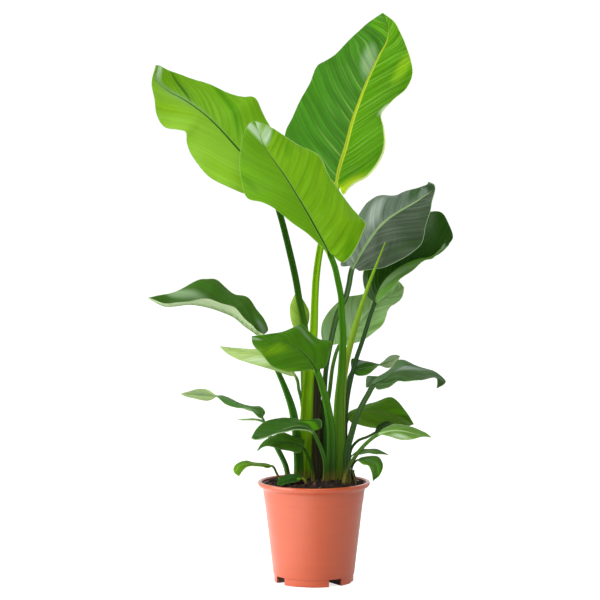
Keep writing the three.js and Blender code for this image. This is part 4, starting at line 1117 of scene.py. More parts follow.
        right=((-74, 258, 4), (-81, 265, 8), (-93, 266, 9), (-112, 271, 8), (-128, 278, 5), (-143, 282, 0),
            (-157, 276, -6), (-172, 276, -14), (-188, 279, -28)),
        patches=(Patch(-169, 286, 9, 12, Tint.BLOOM, 0.7), Patch(-87, 259, 7, 10, Tint.BLOOM, 0.5)),
    ),
    Leaf(
        "leaf_left_thin", "leaf_pale", foot=(-40, 21), widths=(4, 3),
        finish=LivingLeaf("left_thin", left="8FB070", right="8FB070", under="B8D09A", stalk_low="5A7A38",
            stalk_high="7A9C58"),
        stalk=((-40, 176, 20), (-50, 200, 18), (-66, 224, 18)),
        rib=((-75, 241, 19), (-83, 246, 21), (-96, 246, 25), (-116, 246, 28)),
        left=((-80, 243, 15), (-93, 245, 18), (-106, 245, 22)),
        right=((-80, 246, 24), (-93, 248, 31), (-106, 247, 31)),
    ),
    Leaf(
        "leaf_front_low", "leaf_mid", foot=(17, -24), widths=(10, 8, 6), sweep=((1.1, 2.1), (1.1, 2.1)),
        finish=LivingLeaf("front_low", left="2C5414", right="38661E", under="B4D094", rib="A4C490",
            line="6C9A4C", margin="A8C890", stalk_low="3C6420", stalk_high="4A7A2C", veins=0.08, rib_half=1.8,
            hem=(1.2, 0.4)),
        stalk=((17, 182, -28), (12, 200, -32), (6, 214, -38)),
        rib=((0, 226, -42), (-13, 235, -50), (-30, 236, -58), (-51, 229, -66), (-74, 220, -72),
            (-95, 218, -74)),
        left=((-9, 229, -54), (-21, 230, -66), (-36, 229, -76), (-57, 224, -84), (-78, 217, -84),
            (-89, 215, -80)),
        right=((11, 235, -36), (9, 246, -28), (-9, 246, -26), (-27, 247, -30), (-51, 249, -40),
            (-72, 244, -52), (-87, 232, -64)),
        patches=(Patch(0, 236, 12, 14, Tint.FRESH, 0.8), Patch(-78, 218, 8, 14, Tint.BLOOM, 0.3)),
    ),
    Leaf(
        "leaf_front_dark", "leaf_dark", foot=(-1, -22), widths=(8, 6, 5), sweep=((1.3, 2.3), (1.3, 2.3)),
        finish=LivingLeaf("front_dark", left="46741C", right="4A7A20", under="6C9458", rib="5A8A3C",
            line="1E441C", margin="7CA468", stalk_low="2A5012", stalk_high="2E5A14", veins=0.08),
        stalk=((-3, 173, -24), (-7, 185, -26)),
        rib=((-15, 202, -28), (-33, 211, -32), (-51, 212, -36), (-69, 211, -42), (-86, 199, -46)),
        left=((-23, 196, -36), (-39, 199, -42), (-57, 203, -48), (-72, 206, -48)),
        right=((-15, 215, -20), (-26, 220, -18), (-47, 226, -20), (-66, 220, -30), (-80, 209, -40)),
    ),
    Leaf(
        "leaf_bottom_left", "leaf_young", foot=(-51, -6), widths=(6, 5.5),
        finish=LivingLeaf("bottom_left", left="5C8A18", right="5C8A1C", under="88A84C", rib="A4C04C",
            line="6C9830", margin="C0D484", stalk_low="2F4A14", stalk_high="44741C", veins=0.1),
        stalk=((-56, 166, -8),),
        rib=((-62, 176, -10), (-77, 178, -14), (-92, 179, -18), (-106, 178, -22), (-115, 173, -26),
            (-116, 166, -30), (-113, 160, -32)),
        left=((-69, 173, -17), (-80, 175, -21), (-92, 176, -24), (-101, 174, -27), (-107, 169, -30),
            (-111, 163, -32)),
        right=((-69, 179, -4), (-80, 181, -6), (-92, 182, -8), (-102, 184, -10), (-113, 182, -14),
            (-120, 176, -20), (-121, 167, -27)),
        patches=(Patch(-112, 176, 8, 10, Tint.FRESH, 0.6),),
    ),
    Leaf(
        "leaf_on_soil", "leaf_dark", foot=(-12, -36), widths=(6, 5),
        finish=LivingLeaf("on_soil", left="1E4C0A", right="24540C", under="5C8C44", rib="3C742C",
            line="1C4A18", margin="4C8024", stalk_low="8CB828", stalk_high="6CA020", veins=0.08),
        stalk=((-13, 155, -36),),
        rib=((-18, 158, -36), (-29, 160, -38), (-42, 156, -42), (-56, 149, -44)),
        left=((-24, 153, -42), (-39, 150, -48), (-51, 147, -48)),
        right=((-23, 164, -26), (-36, 164, -28), (-50, 160, -34)),
        patches=(Patch(-19, 158, 6, 6, Tint.YOUNG, 0.7),),
    ),
    Leaf(
        "leaf_right_upper", "leaf_mid", foot=(34, 36), widths=(7, 5), sweep=((1.3, 2.3), (1.3, 2.3)),
        finish=LivingLeaf("right_upper", left="2E5A18", right="3E7014", under="B4CC98", rib="6C9858",
            line="305C2C", margin="8CAC78", stalk_low="3C6C2C", stalk_high="44743A", veins=0.08),
        stalk=((38, 215, 38), (48, 276, 42)),
        rib=((57, 318, 40), (73, 322, 38), (88, 326, 36), (101, 330, 33), (116, 335, 29), (130, 342, 26)),
        left=((57, 338, 48), (73, 335, 52), (88, 333, 50), (100, 327, 45), (112, 324, 38), (124, 330, 30)),
        right=((67, 312, 32), (80, 314, 26), (92, 322, 22), (103, 333, 20), (115, 342, 20), (124, 344, 22)),
        patches=(Patch(70, 333, 8, 10, Tint.GREY_SHEEN, 0.7), Patch(115, 336, 6, 14, Tint.BLOOM, 0.8)),
    ),
    Leaf(
        "leaf_right_arching", "leaf_dark", foot=(50, -15), widths=(12, 12, 9.5, 9), wave=(1, 4),
        fineness=Fineness.MEDIUM, sweep=((1.4, 2.6), (1.4, 2.6)), pleat=(0.4, 10),
        finish=LivingLeaf("right_arching", left="4C6C42", right="3C5C2C", under="84A468", rib="587C48",
            line="24421E", margin="8CA878", stalk_low="2A4A1C", stalk_high="34561E", roughness=0.32,
            specular=0.2, veins=0.15, bands=0.9, panels=0.3),
        stalk=((50, 200, -16), (56, 223, -18), (64, 250, -22), (74, 271, -25), (82, 285, -27)),
        rib=((89, 297, -30), (107, 307, -36), (130, 319, -44), (160, 316, -54), (181, 312, -62),
            (195, 305, -68), (194, 300, -71), (185, 294, -74)),
        left=((79, 294, -24), (78, 304, -20), (80, 312, -18), (95, 310, -16), (115, 324, -18),
            (128, 336, -22), (153, 329, -28), (172, 322, -40), (187, 316, -54), (199, 304, -66),
            (195, 298, -73)),
        right=((97, 291, -38), (110, 294, -48), (119, 298, -55), (128, 304, -62), (140, 304, -68),
            (151, 304, -73), (162, 306, -77), (171, 308, -80), (184, 308, -80), (186, 301, -79)),
        patches=(Patch(88, 306, 8, 8, Tint.SHADED, 0.85), Patch(119, 316, 8, 10, Tint.SHADED, 0.7),
            Patch(145, 324, 7, 20, Tint.GREY_SHEEN, 0.75)),
    ),
    Leaf(
        "leaf_right_broad", "leaf_mid", foot=(46, 36), widths=(7, 5), sweep=((1.1, 2.1), (1.1, 2.1)),
        pleat=(0.4, 9),
        finish=LivingLeaf("right_broad", left="4A7A08", right="588614", under="9CBC74", rib="7AA040",
            line="2F5214", margin="A0C060", stalk_low="3C6C2C", stalk_high="4C7C38", veins=0.12, bands=0.45),
        stalk=((47, 170, 35), (47, 215, 33)),
        rib=((50, 244, 30), (65, 258, 32), (85, 259, 36), (107, 258, 42), (130, 250, 48), (151, 239, 52)),
        left=((53, 258, 40), (70, 265, 50), (92, 273, 60), (115, 280, 68), (127, 273, 66), (139, 259, 60)),
        right=((64, 239, 20), (82, 235, 18), (103, 232, 20), (124, 233, 26), (139, 235, 36)),
        patches=(Patch(127, 258, 14, 14, Tint.FRESH, 0.6),),
    ),
    Leaf(
        "leaf_right_low", "leaf_mid", foot=(44, -27), widths=(10, 9, 7), sweep=((1.4, 2.6), (1.4, 2.6)),
        finish=LivingLeaf("right_low", left="66903A", right="6A903C", under="A8C488", rib="8CB468",
            line="B0CC90", margin="B0CC90", stalk_low="3A3A16", stalk_high="4A7420", veins=0.12),
        stalk=((50, 170, -28), (62, 191, -32), (74, 206, -36), (86, 217, -40)),
        rib=((97, 224, -44), (115, 229, -52), (133, 229, -60), (154, 224, -68), (177, 220, -76)),
        left=((104, 233, -34), (118, 238, -36), (133, 239, -42), (153, 233, -52), (168, 227, -66)),
        right=((115, 220, -58), (133, 215, -70), (151, 217, -80), (166, 220, -82)),
        patches=(Patch(130, 221, 5, 14, Tint.BLANCHED, 0.5),),
    ),
    Leaf(
        "leaf_right_short", "leaf_dark", foot=(54, -3), widths=(6, 5),
        finish=LivingLeaf("right_short", left="1C3E08", right="1E4208", under="4C6C34", rib="3C5C24",
            line="1A340C", margin="3C5C20", stalk_low="34541C", stalk_high="3C621C", veins=0.05),
        stalk=((53, 182, -3), (56, 202, -1), (67, 215, 1), (80, 220, 2)),
        rib=((91, 226, 3), (100, 233, 4), (109, 239, 4), (119, 241, 4)),
        left=((97, 238, 10), (109, 244, 10)),
        right=((101, 226, -4), (113, 235, -4)),
    ),
    Leaf(
        "leaf_right_small", "leaf_mid", foot=(56, 14), widths=(4, 3),
        finish=LivingLeaf("right_small", left="4C742C", right="5C8838", under="8CB070", rib="78A058",
            line="3C6C30", margin="9CBC80", stalk_low="3C5A20", stalk_high="4C7030", veins=0.05),
        stalk=((53, 176, 13),),
        rib=((57, 192, 10), (70, 196, 8), (88, 200, 6), (100, 197, 4), (113, 193, 2)),
        left=((65, 199, 16), (80, 202, 18), (97, 201, 12)),
        right=((67, 193, 2), (80, 195, -3), (95, 194, -4)),
    ),
    Leaf(
        "leaf_rear_yellow", "leaf_young", foot=(-10, 31), widths=(7, 5),
        finish=LivingLeaf("rear_yellow", left="A3C84A", right="94BC38", under="BCD684", rib="B0D060",
            line="7CA838", margin="C4DA90", stalk_low="5C8C30", stalk_high="84AC40", veins=0.15),
        stalk=((-12, 215, 34), (-16, 276, 40), (-18, 336, 45)),
        rib=((-18, 374, 48), (-21, 396, 52), (-23, 418, 56), (-27, 439, 60)),
        left=((-30, 384, 50), (-36, 404, 54), (-35, 422, 60)),
        right=((-9, 389, 52), (-7, 408, 56), (-15, 425, 60)),
    ),
    Leaf(
        "leaf_rear_broad", "leaf_pale", foot=(18, 28), widths=(8, 6), wave=(1.2, 4), fineness=Fineness.MEDIUM,
        pleat=(0.8, 12),
        finish=LivingLeaf("rear_broad", left="64983C", right="64983C", under="A4CC84", rib="B0D49C",
            line="4C7C38", margin="C0D8A4", stalk_low="3C6C2C", stalk_high="5C8C40", vein="B0CC98",
            veins=0.25, bands=0.8, panels=0.25),
        stalk=((18, 246, 30), (24, 291, 34), (29, 329, 38)),
        rib=((38, 357, 44), (54, 374, 54), (73, 398, 68), (86, 413, 78), (107, 430, 90), (136, 446, 104)),
        left=((57, 360, 42), (82, 371, 46), (103, 389, 54), (115, 415, 64), (133, 430, 80)),
        right=((15, 363, 52), (11, 384, 62), (21, 408, 74), (47, 430, 86), (77, 437, 96), (107, 451, 104),
            (127, 455, 108)),
        patches=(Patch(54, 402, 12, 14, Tint.BLOOM, 0.9), Patch(18, 374, 10, 12, Tint.BLOOM, 0.9),
            Patch(106, 393, 16, 18, Tint.FRESH, 0.5)),
    ),
    Leaf(
        "leaf_over_rim", "leaf_mid", foot=(62, -20), widths=(5, 4), sweep=((1.1, 2.1), (1.1, 2.1)),
        finish=LivingLeaf("over_rim", left="44701C", right="4C7820", under="9CB880", rib="6C9850",
            line="34602C", margin="9CBC70", stalk_low="5C7C38", stalk_high="3C5C20", veins=0.1),
        stalk=((57, 173, -24),),
        rib=((65, 185, -26), (79, 185, -30), (91, 181, -36), (95, 170, -42), (89, 153, -48)),
        left=((73, 190, -18), (85, 191, -18), (98, 190, -24), (104, 178, -32), (100, 163, -42)),
        right=((73, 179, -36), (82, 176, -42), (86, 169, -46), (88, 160, -50)),
        patches=(Patch(97, 173, 8, 10, Tint.FRESH, 0.6),),
    ),
    Leaf(
        "leaf_rolled_spear", "leaf_young", foot=(45, 12), widths=(9, 9, 9, 9, 9.5, 9, 6.5, 4.5, 1.8),
        fineness=Fineness.MEDIUM, section=Section.ROLLED,
        finish=LivingLeaf("rolled_spear", left="A4C434", right="86AC20", under="9CBC38", stalk_low="9CA83C",
            stalk_high="84B024"),
        stalk=((43, 215, 9), (43, 261, 5), (45, 306, -2), (49, 333, -8), (55, 359, -12), (66, 399, -18),
            (80, 442, -24), (96, 484, -28), (108, 514, -30)),
    ),
    Leaf(
        "dried_sheath", "dried_leaf", foot=(6, -4), widths=(16, 16, 15, 13, 10, 3), section=Section.FURROWED,
        finish=DriedSheath(),
        stalk=((5, 215, -4), (5, 261, -4), (5, 298, -4), (6, 333, -3), (8, 354, -2)),
    ),
)


# ---- Pot ----


@dataclass
class Pot:
    """The nursery pot: a turned shell with drainage channels, notches and drain holes."""

    height: float = 152.0
    rim_radius: float = 85.0
    opening_radius: float = 78.7
    rim_height: float = 7.0
    flare_height: float = 138.5
    body_top_radius: float = 77.0
    body_foot_radius: float = 61.4
    foot_height: float = 11.0
    foot_radius: float = 60.1
    ledge_height: float = 122.0
    ledge_step: float = 0.6
    wall: float = 1.5
    floor: float = 1.8
    channel_first: float = 32.3  # degrees from the front, towards +X
    channel_width: float = 22.0
    channel_inner: float = 18.0
    notch_first: float = -13.9
    notch_width: float = 18.9
    notch_height: float = 1.6
    notch_inner: float = 57.7
    hole_radius: float = 4.0
    hole_reach: float = 47.0
    segments: int = 160
    finish: MouldedPlastic = MouldedPlastic()

    def outer_profile(self) -> Profile:
        """Works out the outside.

        Returns:
            The profile from the base's centre up and over the rim.
        """
        slope = (self.body_top_radius - self.body_foot_radius) / (self.flare_height - self.foot_height)
        ledge = self.body_foot_radius + slope * (self.ledge_height - self.foot_height)
        rim = self.height - self.rim_height
        return [
            (0, 0, 0),
            (self.foot_radius, 0, 0.8),
            (self.foot_radius + 0.2, self.foot_height - 0.6, 0.4),
            (self.body_foot_radius, self.foot_height + 0.4, 0.6),
            (ledge - self.ledge_step, self.ledge_height - 0.5, 0.25),
            (ledge, self.ledge_height, 0.25),
            (self.body_top_radius, self.flare_height, 3.0),
            (self.body_top_radius + 0.7, self.flare_height + 2.6, 1.4),
            (self.rim_radius - 1.1, rim + 0.6, 2.6),
            (self.rim_radius, rim + 3.2, 1.6),
            (self.rim_radius - 0.3, self.height - 0.3, 2.0),
            (self.rim_radius - 2.6, self.height, 1.6),
            (0, self.height, 0),
        ]

    def inner_profile(self) -> Profile:
        """Works out the inside.

        Returns:
            The profile from the floor's centre up to past the rim.
        """
        rim = self.height - self.rim_height
        return [
            (0, self.floor, 0),
            (self.foot_radius - self.wall, self.floor, 1.5),
            (self.body_foot_radius - self.wall, self.foot_height + 2, 1),
            (self.body_top_radius - self.wall, rim - 1, 3),
            (self.opening_radius, rim + 2.4, 2),
            (self.opening_radius, self.height - 1.2, 0.9),
            (self.opening_radius + 2.4, self.height + 0.4, 0.5),
            (self.opening_radius + 2.4, self.height + 2, 0),
            (0, self.height + 2, 0),
        ]

    @staticmethod
    def rounded(profile: Profile, steps: int = 5) -> np.ndarray:
        """Rounds a profile's corners.

        Args:
            profile: The profile.
            steps: Points on each rounded corner, less one.

        Returns:
            The finer profile as radius and height pairs.
        """
        out = []
        for i, (radius, height, rounding) in enumerate(profile):
            here = np.array([radius, height])
            if rounding == 0:
                out.append(here)
                continue
            back, on = (np.array(profile[i + k][:2]) - here for k in (-1, 1))
            cut = min(rounding, 0.48 * np.linalg.norm(back), 0.48 * np.linalg.norm(on))
            first, last = here + unit(back) * cut, here + unit(on) * cut
            for s in np.linspace(0, 1, steps + 1):
                out.append((1 - s) ** 2 * first + 2 * s * (1 - s) * here + s**2 * last)
        return np.array(out)

    def turned(self, name: str, profile: Profile, material: bpy.types.Material) -> bpy.types.Object:
        """Turns a profile about the pot's axis.

        Args:
            name: The object's name.
            profile: The profile, upwards along the outside.
            material: The finish.

        Returns:
            A closed solid.
        """
        fine = self.rounded(profile)
        angle = 2 * math.pi * np.arange(self.segments) / self.segments
        circle = np.stack([np.cos(angle), np.sin(angle), np.zeros(self.segments)], axis=1)
        loops = [radius * circle + [0, 0, height] for radius, height in fine[1:-1]]
        points = np.concatenate([*loops, [[0, 0, fine[0][1]], [0, 0, fine[-1][1]]]])
        low, high = len(points) - 2, len(points) - 1
        top = (len(loops) - 1) * self.segments
        faces = []
        for s in range(self.segments):
            n = (s + 1) % self.segments
            faces.append((n, s, low))
            for a in range(0, top, self.segments):
                b = a + self.segments
                faces.append((a + s, a + n, b + n, b + s))
            faces.append((top + s, top + n, high))
        return new_object(name, points, faces, material)

    def cutting_tree(self, material: bpy.types.Material) -> bpy.types.NodeTree:
        """Builds the tree that hollows the pot and cuts what repeats round its foot.

        Args:
            material: The finish that the pot keeps.

        Returns:
            The tree.
        """
        tree, node = new_tree("pot_foot_cuts", {
            "Inside": ("NodeSocketObject", None), "Wall": ("NodeSocketFloat", 0.0015),
            "Channel width": ("NodeSocketFloat", 0.02), "Channel height": ("NodeSocketFloat", 0.01),
            "Channel reach": ("NodeSocketFloat", 0.02), "Channel angle": ("NodeSocketFloat", 0.0),
            "Notch width": ("NodeSocketFloat", 0.02), "Notch height": ("NodeSocketFloat", 0.0016),
            "Notch reach": ("NodeSocketFloat", 0.05), "Notch angle": ("NodeSocketFloat", 0.0),
            "Hole radius": ("NodeSocketFloat", 0.004), "Hole reach": ("NodeSocketFloat", 0.05),
        })
        given = node("NodeGroupInput").outputs
        wall, first = given["Wall"], given["Channel angle"]
        width, height, reach = (given[f"Channel {size}"] for size in ("width", "height", "reach"))
        # A drill for the drain holes.
        drill = node("GeometryNodeMeshCylinder", {
            "Vertices": 24, "Radius": given["Hole radius"], "Depth": 8 * MM,
        })
        out = node(MATH, (given["Hole reach"], -1.0), operation="MULTIPLY")
        shift = node("ShaderNodeCombineXYZ", (0.0, out, height))
        drill = node("GeometryNodeTransform", {"Geometry": drill, "Translation": shift})
        tools = [(drill, first)]
        # Boxes that run outwards from a reach, and from just under the base up to a height: the
        # channels, the ducts that wrap them by the wall's thickness, and the shallow notches.
        length, below = 80 * MM, 2 * MM
        duct_width = node(MATH, (wall, 2.0, width), operation="MULTIPLY_ADD")
        duct_height = node(MATH, (height, wall), operation="ADD")
        duct_reach = node(MATH, (reach, wall), operation="SUBTRACT")
        for across, top, inner, angle in (
            (width, height, reach, first),
            (duct_width, duct_height, duct_reach, first),
            (given["Notch width"], given["Notch height"], given["Notch reach"], given["Notch angle"]),
        ):
            tall = node(MATH, (top, below), operation="ADD")
            size = node("ShaderNodeCombineXYZ", (across, length, tall))
            box = node("GeometryNodeMeshCube", {"Size": size})
            out = node(MATH, (inner, -1.0, -length / 2), operation="MULTIPLY_ADD")
            lift = node(MATH, (top, 0.5, -below / 2), operation="MULTIPLY_ADD")
            shift = node("ShaderNodeCombineXYZ", (0.0, out, lift))
            tools.append((node("GeometryNodeTransform", {"Geometry": box, "Translation": shift}), angle))
        # Each tool is repeated at four quarter turns.
        places = node("GeometryNodeMeshLine", {"Count": 4, "Offset": (0, 0, 0)})
        index = node("GeometryNodeInputIndex")
        around = []
        for tool, angle in tools:
            turn = node(MATH, (index, math.pi / 2, angle), operation="MULTIPLY_ADD")
            turn = node("ShaderNodeCombineXYZ", (0.0, 0.0, turn))
            spread = node("GeometryNodeInstanceOnPoints", {
                "Points": places, "Instance": tool, "Rotation": turn,
            })
            around.append(node("GeometryNodeRealizeInstances", (spread,)))
        holes, channels, ducts, notches = around
        exact = {"operation": "DIFFERENCE", "solver": "EXACT"}
        inside = node("GeometryNodeObjectInfo", {"Object": given["Inside"]}).outputs["Geometry"]
        hollow = node("GeometryNodeMeshBoolean", {"Mesh 1": inside, "Mesh 2": ducts}, **exact)
        cut = given["Geometry"]
        for tool in (hollow, channels, notches, holes):
            cut = node("GeometryNodeMeshBoolean", {"Mesh 1": cut, "Mesh 2": tool}, **exact)
        whole = node("GeometryNodeRealizeInstances", (cut,))
        dressed = node("GeometryNodeSetMaterial", {"Geometry": whole, "Material": material})
        node("NodeGroupOutput", (dressed,))
        return tree

    def build(self) -> bpy.types.Object:
        """Makes the pot.

        Returns:
            The pot, fixed to the plant.
        """
        material = self.finish.material()
        shell = self.turned("pot_shell", self.outer_profile(), material)
        inside = self.turned("pot_inside", self.inner_profile(), material)
        grow(shell, self.cutting_tree(material), {
            "Inside": inside, "Wall": self.wall * MM,
            "Channel width": self.channel_width * MM, "Channel height": self.foot_height * MM,
            "Channel reach": self.channel_inner * MM, "Channel angle": math.radians(self.channel_first),
            "Notch width": self.notch_width * MM, "Notch height": self.notch_height * MM,
            "Notch reach": self.notch_inner * MM, "Notch angle": math.radians(self.notch_first),
            "Hole radius": self.hole_radius * MM, "Hole reach": self.hole_reach * MM,
        })
        made = plain_mesh(shell, "fine_pot")
        bpy.data.objects.remove(inside)
        made.data.materials.clear()
        made.data.materials.append(material)
        settle(made, "terracotta_plastic", "pot")
        return made


# ---- Soil ----


class Litter(Enum):
    """What lies on the peat: its name, greatest tilt in radians, bend in metres and palest colour."""

    CRUMB = ("crumb", 3.1, 0.0026, "46261A")
    CHIP = ("chip", 0.7, 0.0026, "74422C")
    FIBRE = ("fibre", 0.45, 0.006, "A06C44")


@dataclass
class PeatBed:
    """The peat filling: heaped to the middle, lumpy, and strewn with crumbs, chips and fibres."""

    opening: float = 78.7  # where the heap has run out
    edge_radius: float = 78.4
    shoulder_radius: float = 77.4
    edge_height: float = 145.5
    heap: float = 9.0
    roughness: float = 1.1
    wall: tuple[Pair, ...] = ((75.0, 141.0), (60.5, 22.0), (58.5, 15.0))  # radius and height, downwards
    lump: Point = (58.0, 32.0, 152.6)  # the middle of the lump at the back right
    lump_size: Point = (8.0, 9.6, 22.0)
    rings: int = 44
    sectors: int = 150
    # Kind, pieces per square metre, smallest and largest length, and seed.
    strewn: tuple[tuple[Litter, float, float, float, int], ...] = (
        (Litter.CRUMB, 42000.0, 1.4, 4.5, 3),
        (Litter.CRUMB, 9000.0, 4.0, 9.0, 4),
        (Litter.CHIP, 13000.0, 4.5, 12.0, 5),
        (Litter.FIBRE, 17000.0, 6.0, 20.0, 6),
    )

    def height(self, x: np.ndarray | float, y: np.ndarray | float) -> np.ndarray | float:
        """Works out the height of the heaped surface, as in the solid.

        Args:
            x: Places across.
            y: Places in depth.

        Returns:
            The height at each.
        """
        share = np.minimum(np.hypot(x, y) / self.opening, 1)
        heap = self.heap * (1 - share * share) ** 1.2
        grain = np.sin(x / 6.1 + 0.8) * np.cos(y / 5.3) + np.sin(x / 3.7 - y / 4.9)
        return self.edge_height + heap + 0.5 * self.roughness * grain * (1 - share**4)

    def fine_height(self, x: np.ndarray, y: np.ndarray) -> np.ndarray:
        """Works out the height of the surface with its small clods, which run out at the edge.

        Args:
            x: Places across.
            y: Places in depth.

        Returns:
            The height at each.
        """
        clods = np.sin(x / 1.9 + 2.1 * np.sin(y / 3.3)) * np.cos(y / 2.3 + 1.7 * np.sin(x / 4.1))
        share = np.minimum(np.hypot(x, y) / self.opening, 1)
        return self.height(x, y) + 1.1 * clods * (1 - share**6) - 0.5 + 1.6 * share**4

    def top(self, reach: float) -> tuple[np.ndarray, list]:
        """Draws the upper surface.

        Args:
            reach: Its radius.

        Returns:
            Its points, in rings outwards from the middle, and its faces.
        """
        radii = reach * (np.arange(1, self.rings + 1) / self.rings)
        angle = 2 * math.pi * np.arange(self.sectors) / self.sectors
        x, y = np.outer(radii, np.cos(angle)), np.outer(radii, np.sin(angle))
        points = np.stack([x, y, self.fine_height(x, y)], axis=-1).reshape(-1, 3)
        middle = float(self.fine_height(np.array(0.0), np.array(0.0)))
        points = np.concatenate([points, [[0, 0, middle]]])
        faces = []
        for s in range(self.sectors):
            n = (s + 1) % self.sectors
            faces.append((len(points) - 1, s, n))
            for ring in range(self.rings - 1):
                a, b = ring * self.sectors, (ring + 1) * self.sectors
                faces.append((a + s, b + s, b + n, a + n))
        return points, faces

    def body(self, material: bpy.types.Material) -> bpy.types.Object:
        """Makes the peat as a closed body inside the pot.

        Args:
            material: The peat's finish.

        Returns:
            The peat bed.
        """
        points, faces = self.top(self.shoulder_radius)
        angle = 2 * math.pi * np.arange(self.sectors) / self.sectors
        circle = np.stack([np.cos(angle), np.sin(angle), np.zeros(self.sectors)], axis=1)
        loops = [(self.rings - 1) * self.sectors]
        for radius, height in ((self.edge_radius, self.edge_height - 0.6), *self.wall):
            loops.append(len(points))
            points = np.concatenate([points, radius * circle + [0, 0, height]])
        points = np.concatenate([points, [[0, 0, self.wall[-1][1]]]])
        for s in range(self.sectors):
            n = (s + 1) % self.sectors
            faces += [(a + s, b + s, b + n, a + n) for a, b in zip(loops, loops[1:])]
            faces.append((loops[-1] + s, len(points) - 1, loops[-1] + n))
        return new_object("fine_peat_bed", points, faces, material)

    def lump_piece(self, material: bpy.types.Material) -> bpy.types.Object:
        """Makes the broken lump of peat that stands at the back right of the pot.

        Args:
            material: The peat's finish.

        Returns:
            The lump.
        """
        shape = bmesh.new()
        bmesh.ops.create_cube(shape, size=1.0)
        bmesh.ops.subdivide_edges(shape, edges=shape.edges[:], cuts=5, use_grid_fill=True)
        for corner in shape.verts:
            p = corner.co
            rough = 0.05 * math.sin(17 * p.x + 5 * p.z) + 0.05 * math.cos(13 * p.y + 9 * p.z)
            taper = 1 - 0.12 * (p.z + 0.5)
            rise = 0.04 * math.sin(9 * p.x + 7 * p.y)
            corner.co = Vector((p.x * taper + rough, p.y * taper - rough, p.z + rise))
        turn = Matrix.Rotation(0.5, 4, "Z") @ Matrix.Diagonal((*self.lump_size, 1.0))
        bmesh.ops.transform(shape, matrix=turn, verts=shape.verts[:])
        corners = np.array([corner.co[:] for corner in shape.verts]) + self.lump
        faces = [tuple(corner.index for corner in f.verts) for f in shape.faces]
        shape.free()
        return new_object("peat_lump", corners, faces, material)

    def litter_tree(self, kind: Litter, material: bpy.types.Material) -> bpy.types.NodeTree:
        """Builds the tree that strews one kind of litter over a surface.

        Args:
            kind: What is strewn.
            material: Its finish.

        Returns:
            The tree.
        """
        name, tilt, bend, _ = kind.value
        tree, node = new_tree(f"peat_{name}s", {
            "Pieces per square metre": ("NodeSocketFloat", 1000.0), "Smallest": ("NodeSocketFloat", 0.001),
            "Largest": ("NodeSocketFloat", 0.003), "Seed": ("NodeSocketInt", 1),
        })
        given = node("NodeGroupInput").outputs
        seed = given["Seed"]
        places = node("GeometryNodeDistributePointsOnFaces", {
            "Mesh": given["Geometry"], "Density": given["Pieces per square metre"], "Seed": seed,
        })
        if kind is Litter.CRUMB:
            shape = node("GeometryNodeMeshIcoSphere", {"Radius": 0.5, "Subdivisions": 1})
        elif kind is Litter.CHIP:
            shape = node("GeometryNodeMeshCube", {
                "Size": (1.0, 0.5, 0.22), "Vertices X": 3, "Vertices Y": 2, "Vertices Z": 2,
            })
        else:
            rod = node("GeometryNodeMeshCylinder", {
                "Vertices": 4, "Side Segments": 7, "Radius": 0.024, "Depth": 1.0,
            })
            shape = node("GeometryNodeTransform", {"Geometry": rod, "Rotation": (0, math.pi / 2, 0)})
        size = node("FunctionNodeRandomValue", {
            2: given["Smallest"], 3: given["Largest"], "Seed": seed,
        }, data_type="FLOAT")
        turn = node("FunctionNodeRandomValue", {
            0: (-tilt, -tilt, 0), 1: (tilt, tilt, 2 * math.pi), "Seed": seed,
        }, data_type="FLOAT_VECTOR")
        spread = node("GeometryNodeInstanceOnPoints", {
            "Points": places, "Instance": shape, "Rotation": turn, "Scale": size,
        })
        # Each piece gets its own tone, from damp to pale.
        tone = node("FunctionNodeRandomValue", {2: 0.0, 3: 1.0, "Seed": 9}, data_type="FLOAT")
        toned = node("GeometryNodeStoreNamedAttribute", {
            "Geometry": spread, "Name": "tone", "Value": tone,
        }, data_type="FLOAT", domain="INSTANCE")
        whole = node("GeometryNodeRealizeInstances", (toned,))
        # Noise about 4 mm wide bends the pieces, so that no two are alike.
        place = node("GeometryNodeInputPosition")
        rough = node("ShaderNodeTexNoise", {"Vector": place, "Scale": 260.0, "Detail": 1.0}).outputs["Color"]
        centred = node("ShaderNodeVectorMath", (rough, (0.5, 0.5, 0.5)), operation="SUBTRACT")
        moved = node("ShaderNodeVectorMath", {0: centred, "Scale": bend}, operation="SCALE")
        bent = node("GeometryNodeSetPosition", {"Geometry": whole, "Offset": moved})
        dressed = node("GeometryNodeSetMaterial", {"Geometry": bent, "Material": material})
        node("NodeGroupOutput", (dressed,))
        return tree

    def strew(
        self, number: int, kind: Litter, density: float, smallest: float, largest: float, seed: int
    ) -> bpy.types.Object:
        """Strews one kind of litter over the peat.

        Args:
            number: The piece's place among the litter pieces.
            kind: What is strewn.
            density: Pieces per square metre.
            smallest: The smallest piece's length.
            largest: The largest piece's length.
            seed: The fixed seed.

        Returns:
            The litter, fixed to the plant.
        """
        name, *_, pale = kind.value
        material = Peat(f"{name}_{number}", dry="24130B", pale=pale).material()
        points, faces = self.top(self.shoulder_radius - 0.45 * largest)
        ground = new_object(f"strewn_{number}", points, faces, material)
        grow(ground, self.litter_tree(kind, material), {
            "Pieces per square metre": density, "Smallest": smallest * MM,
            "Largest": largest * MM, "Seed": seed,
        })
        made = plain_mesh(ground, f"peat_{name}s_{number}")
        settle(made, "peat")
        return made

    def build(self) -> list[bpy.types.Object]:
        """Makes the peat bed, its lump and its litter.

        Returns:
            The pieces, fixed to the plant.
        """
        material = Peat("bed").material()
        bed = self.body(material)
        settle(bed, "peat", "soil")
        lump = self.lump_piece(material)
        settle(lump, "peat")
        litter = [self.strew(number, *kind) for number, kind in enumerate(self.strewn, 1)]
        return [bed, lump, *litter]


# ---- Studio ----


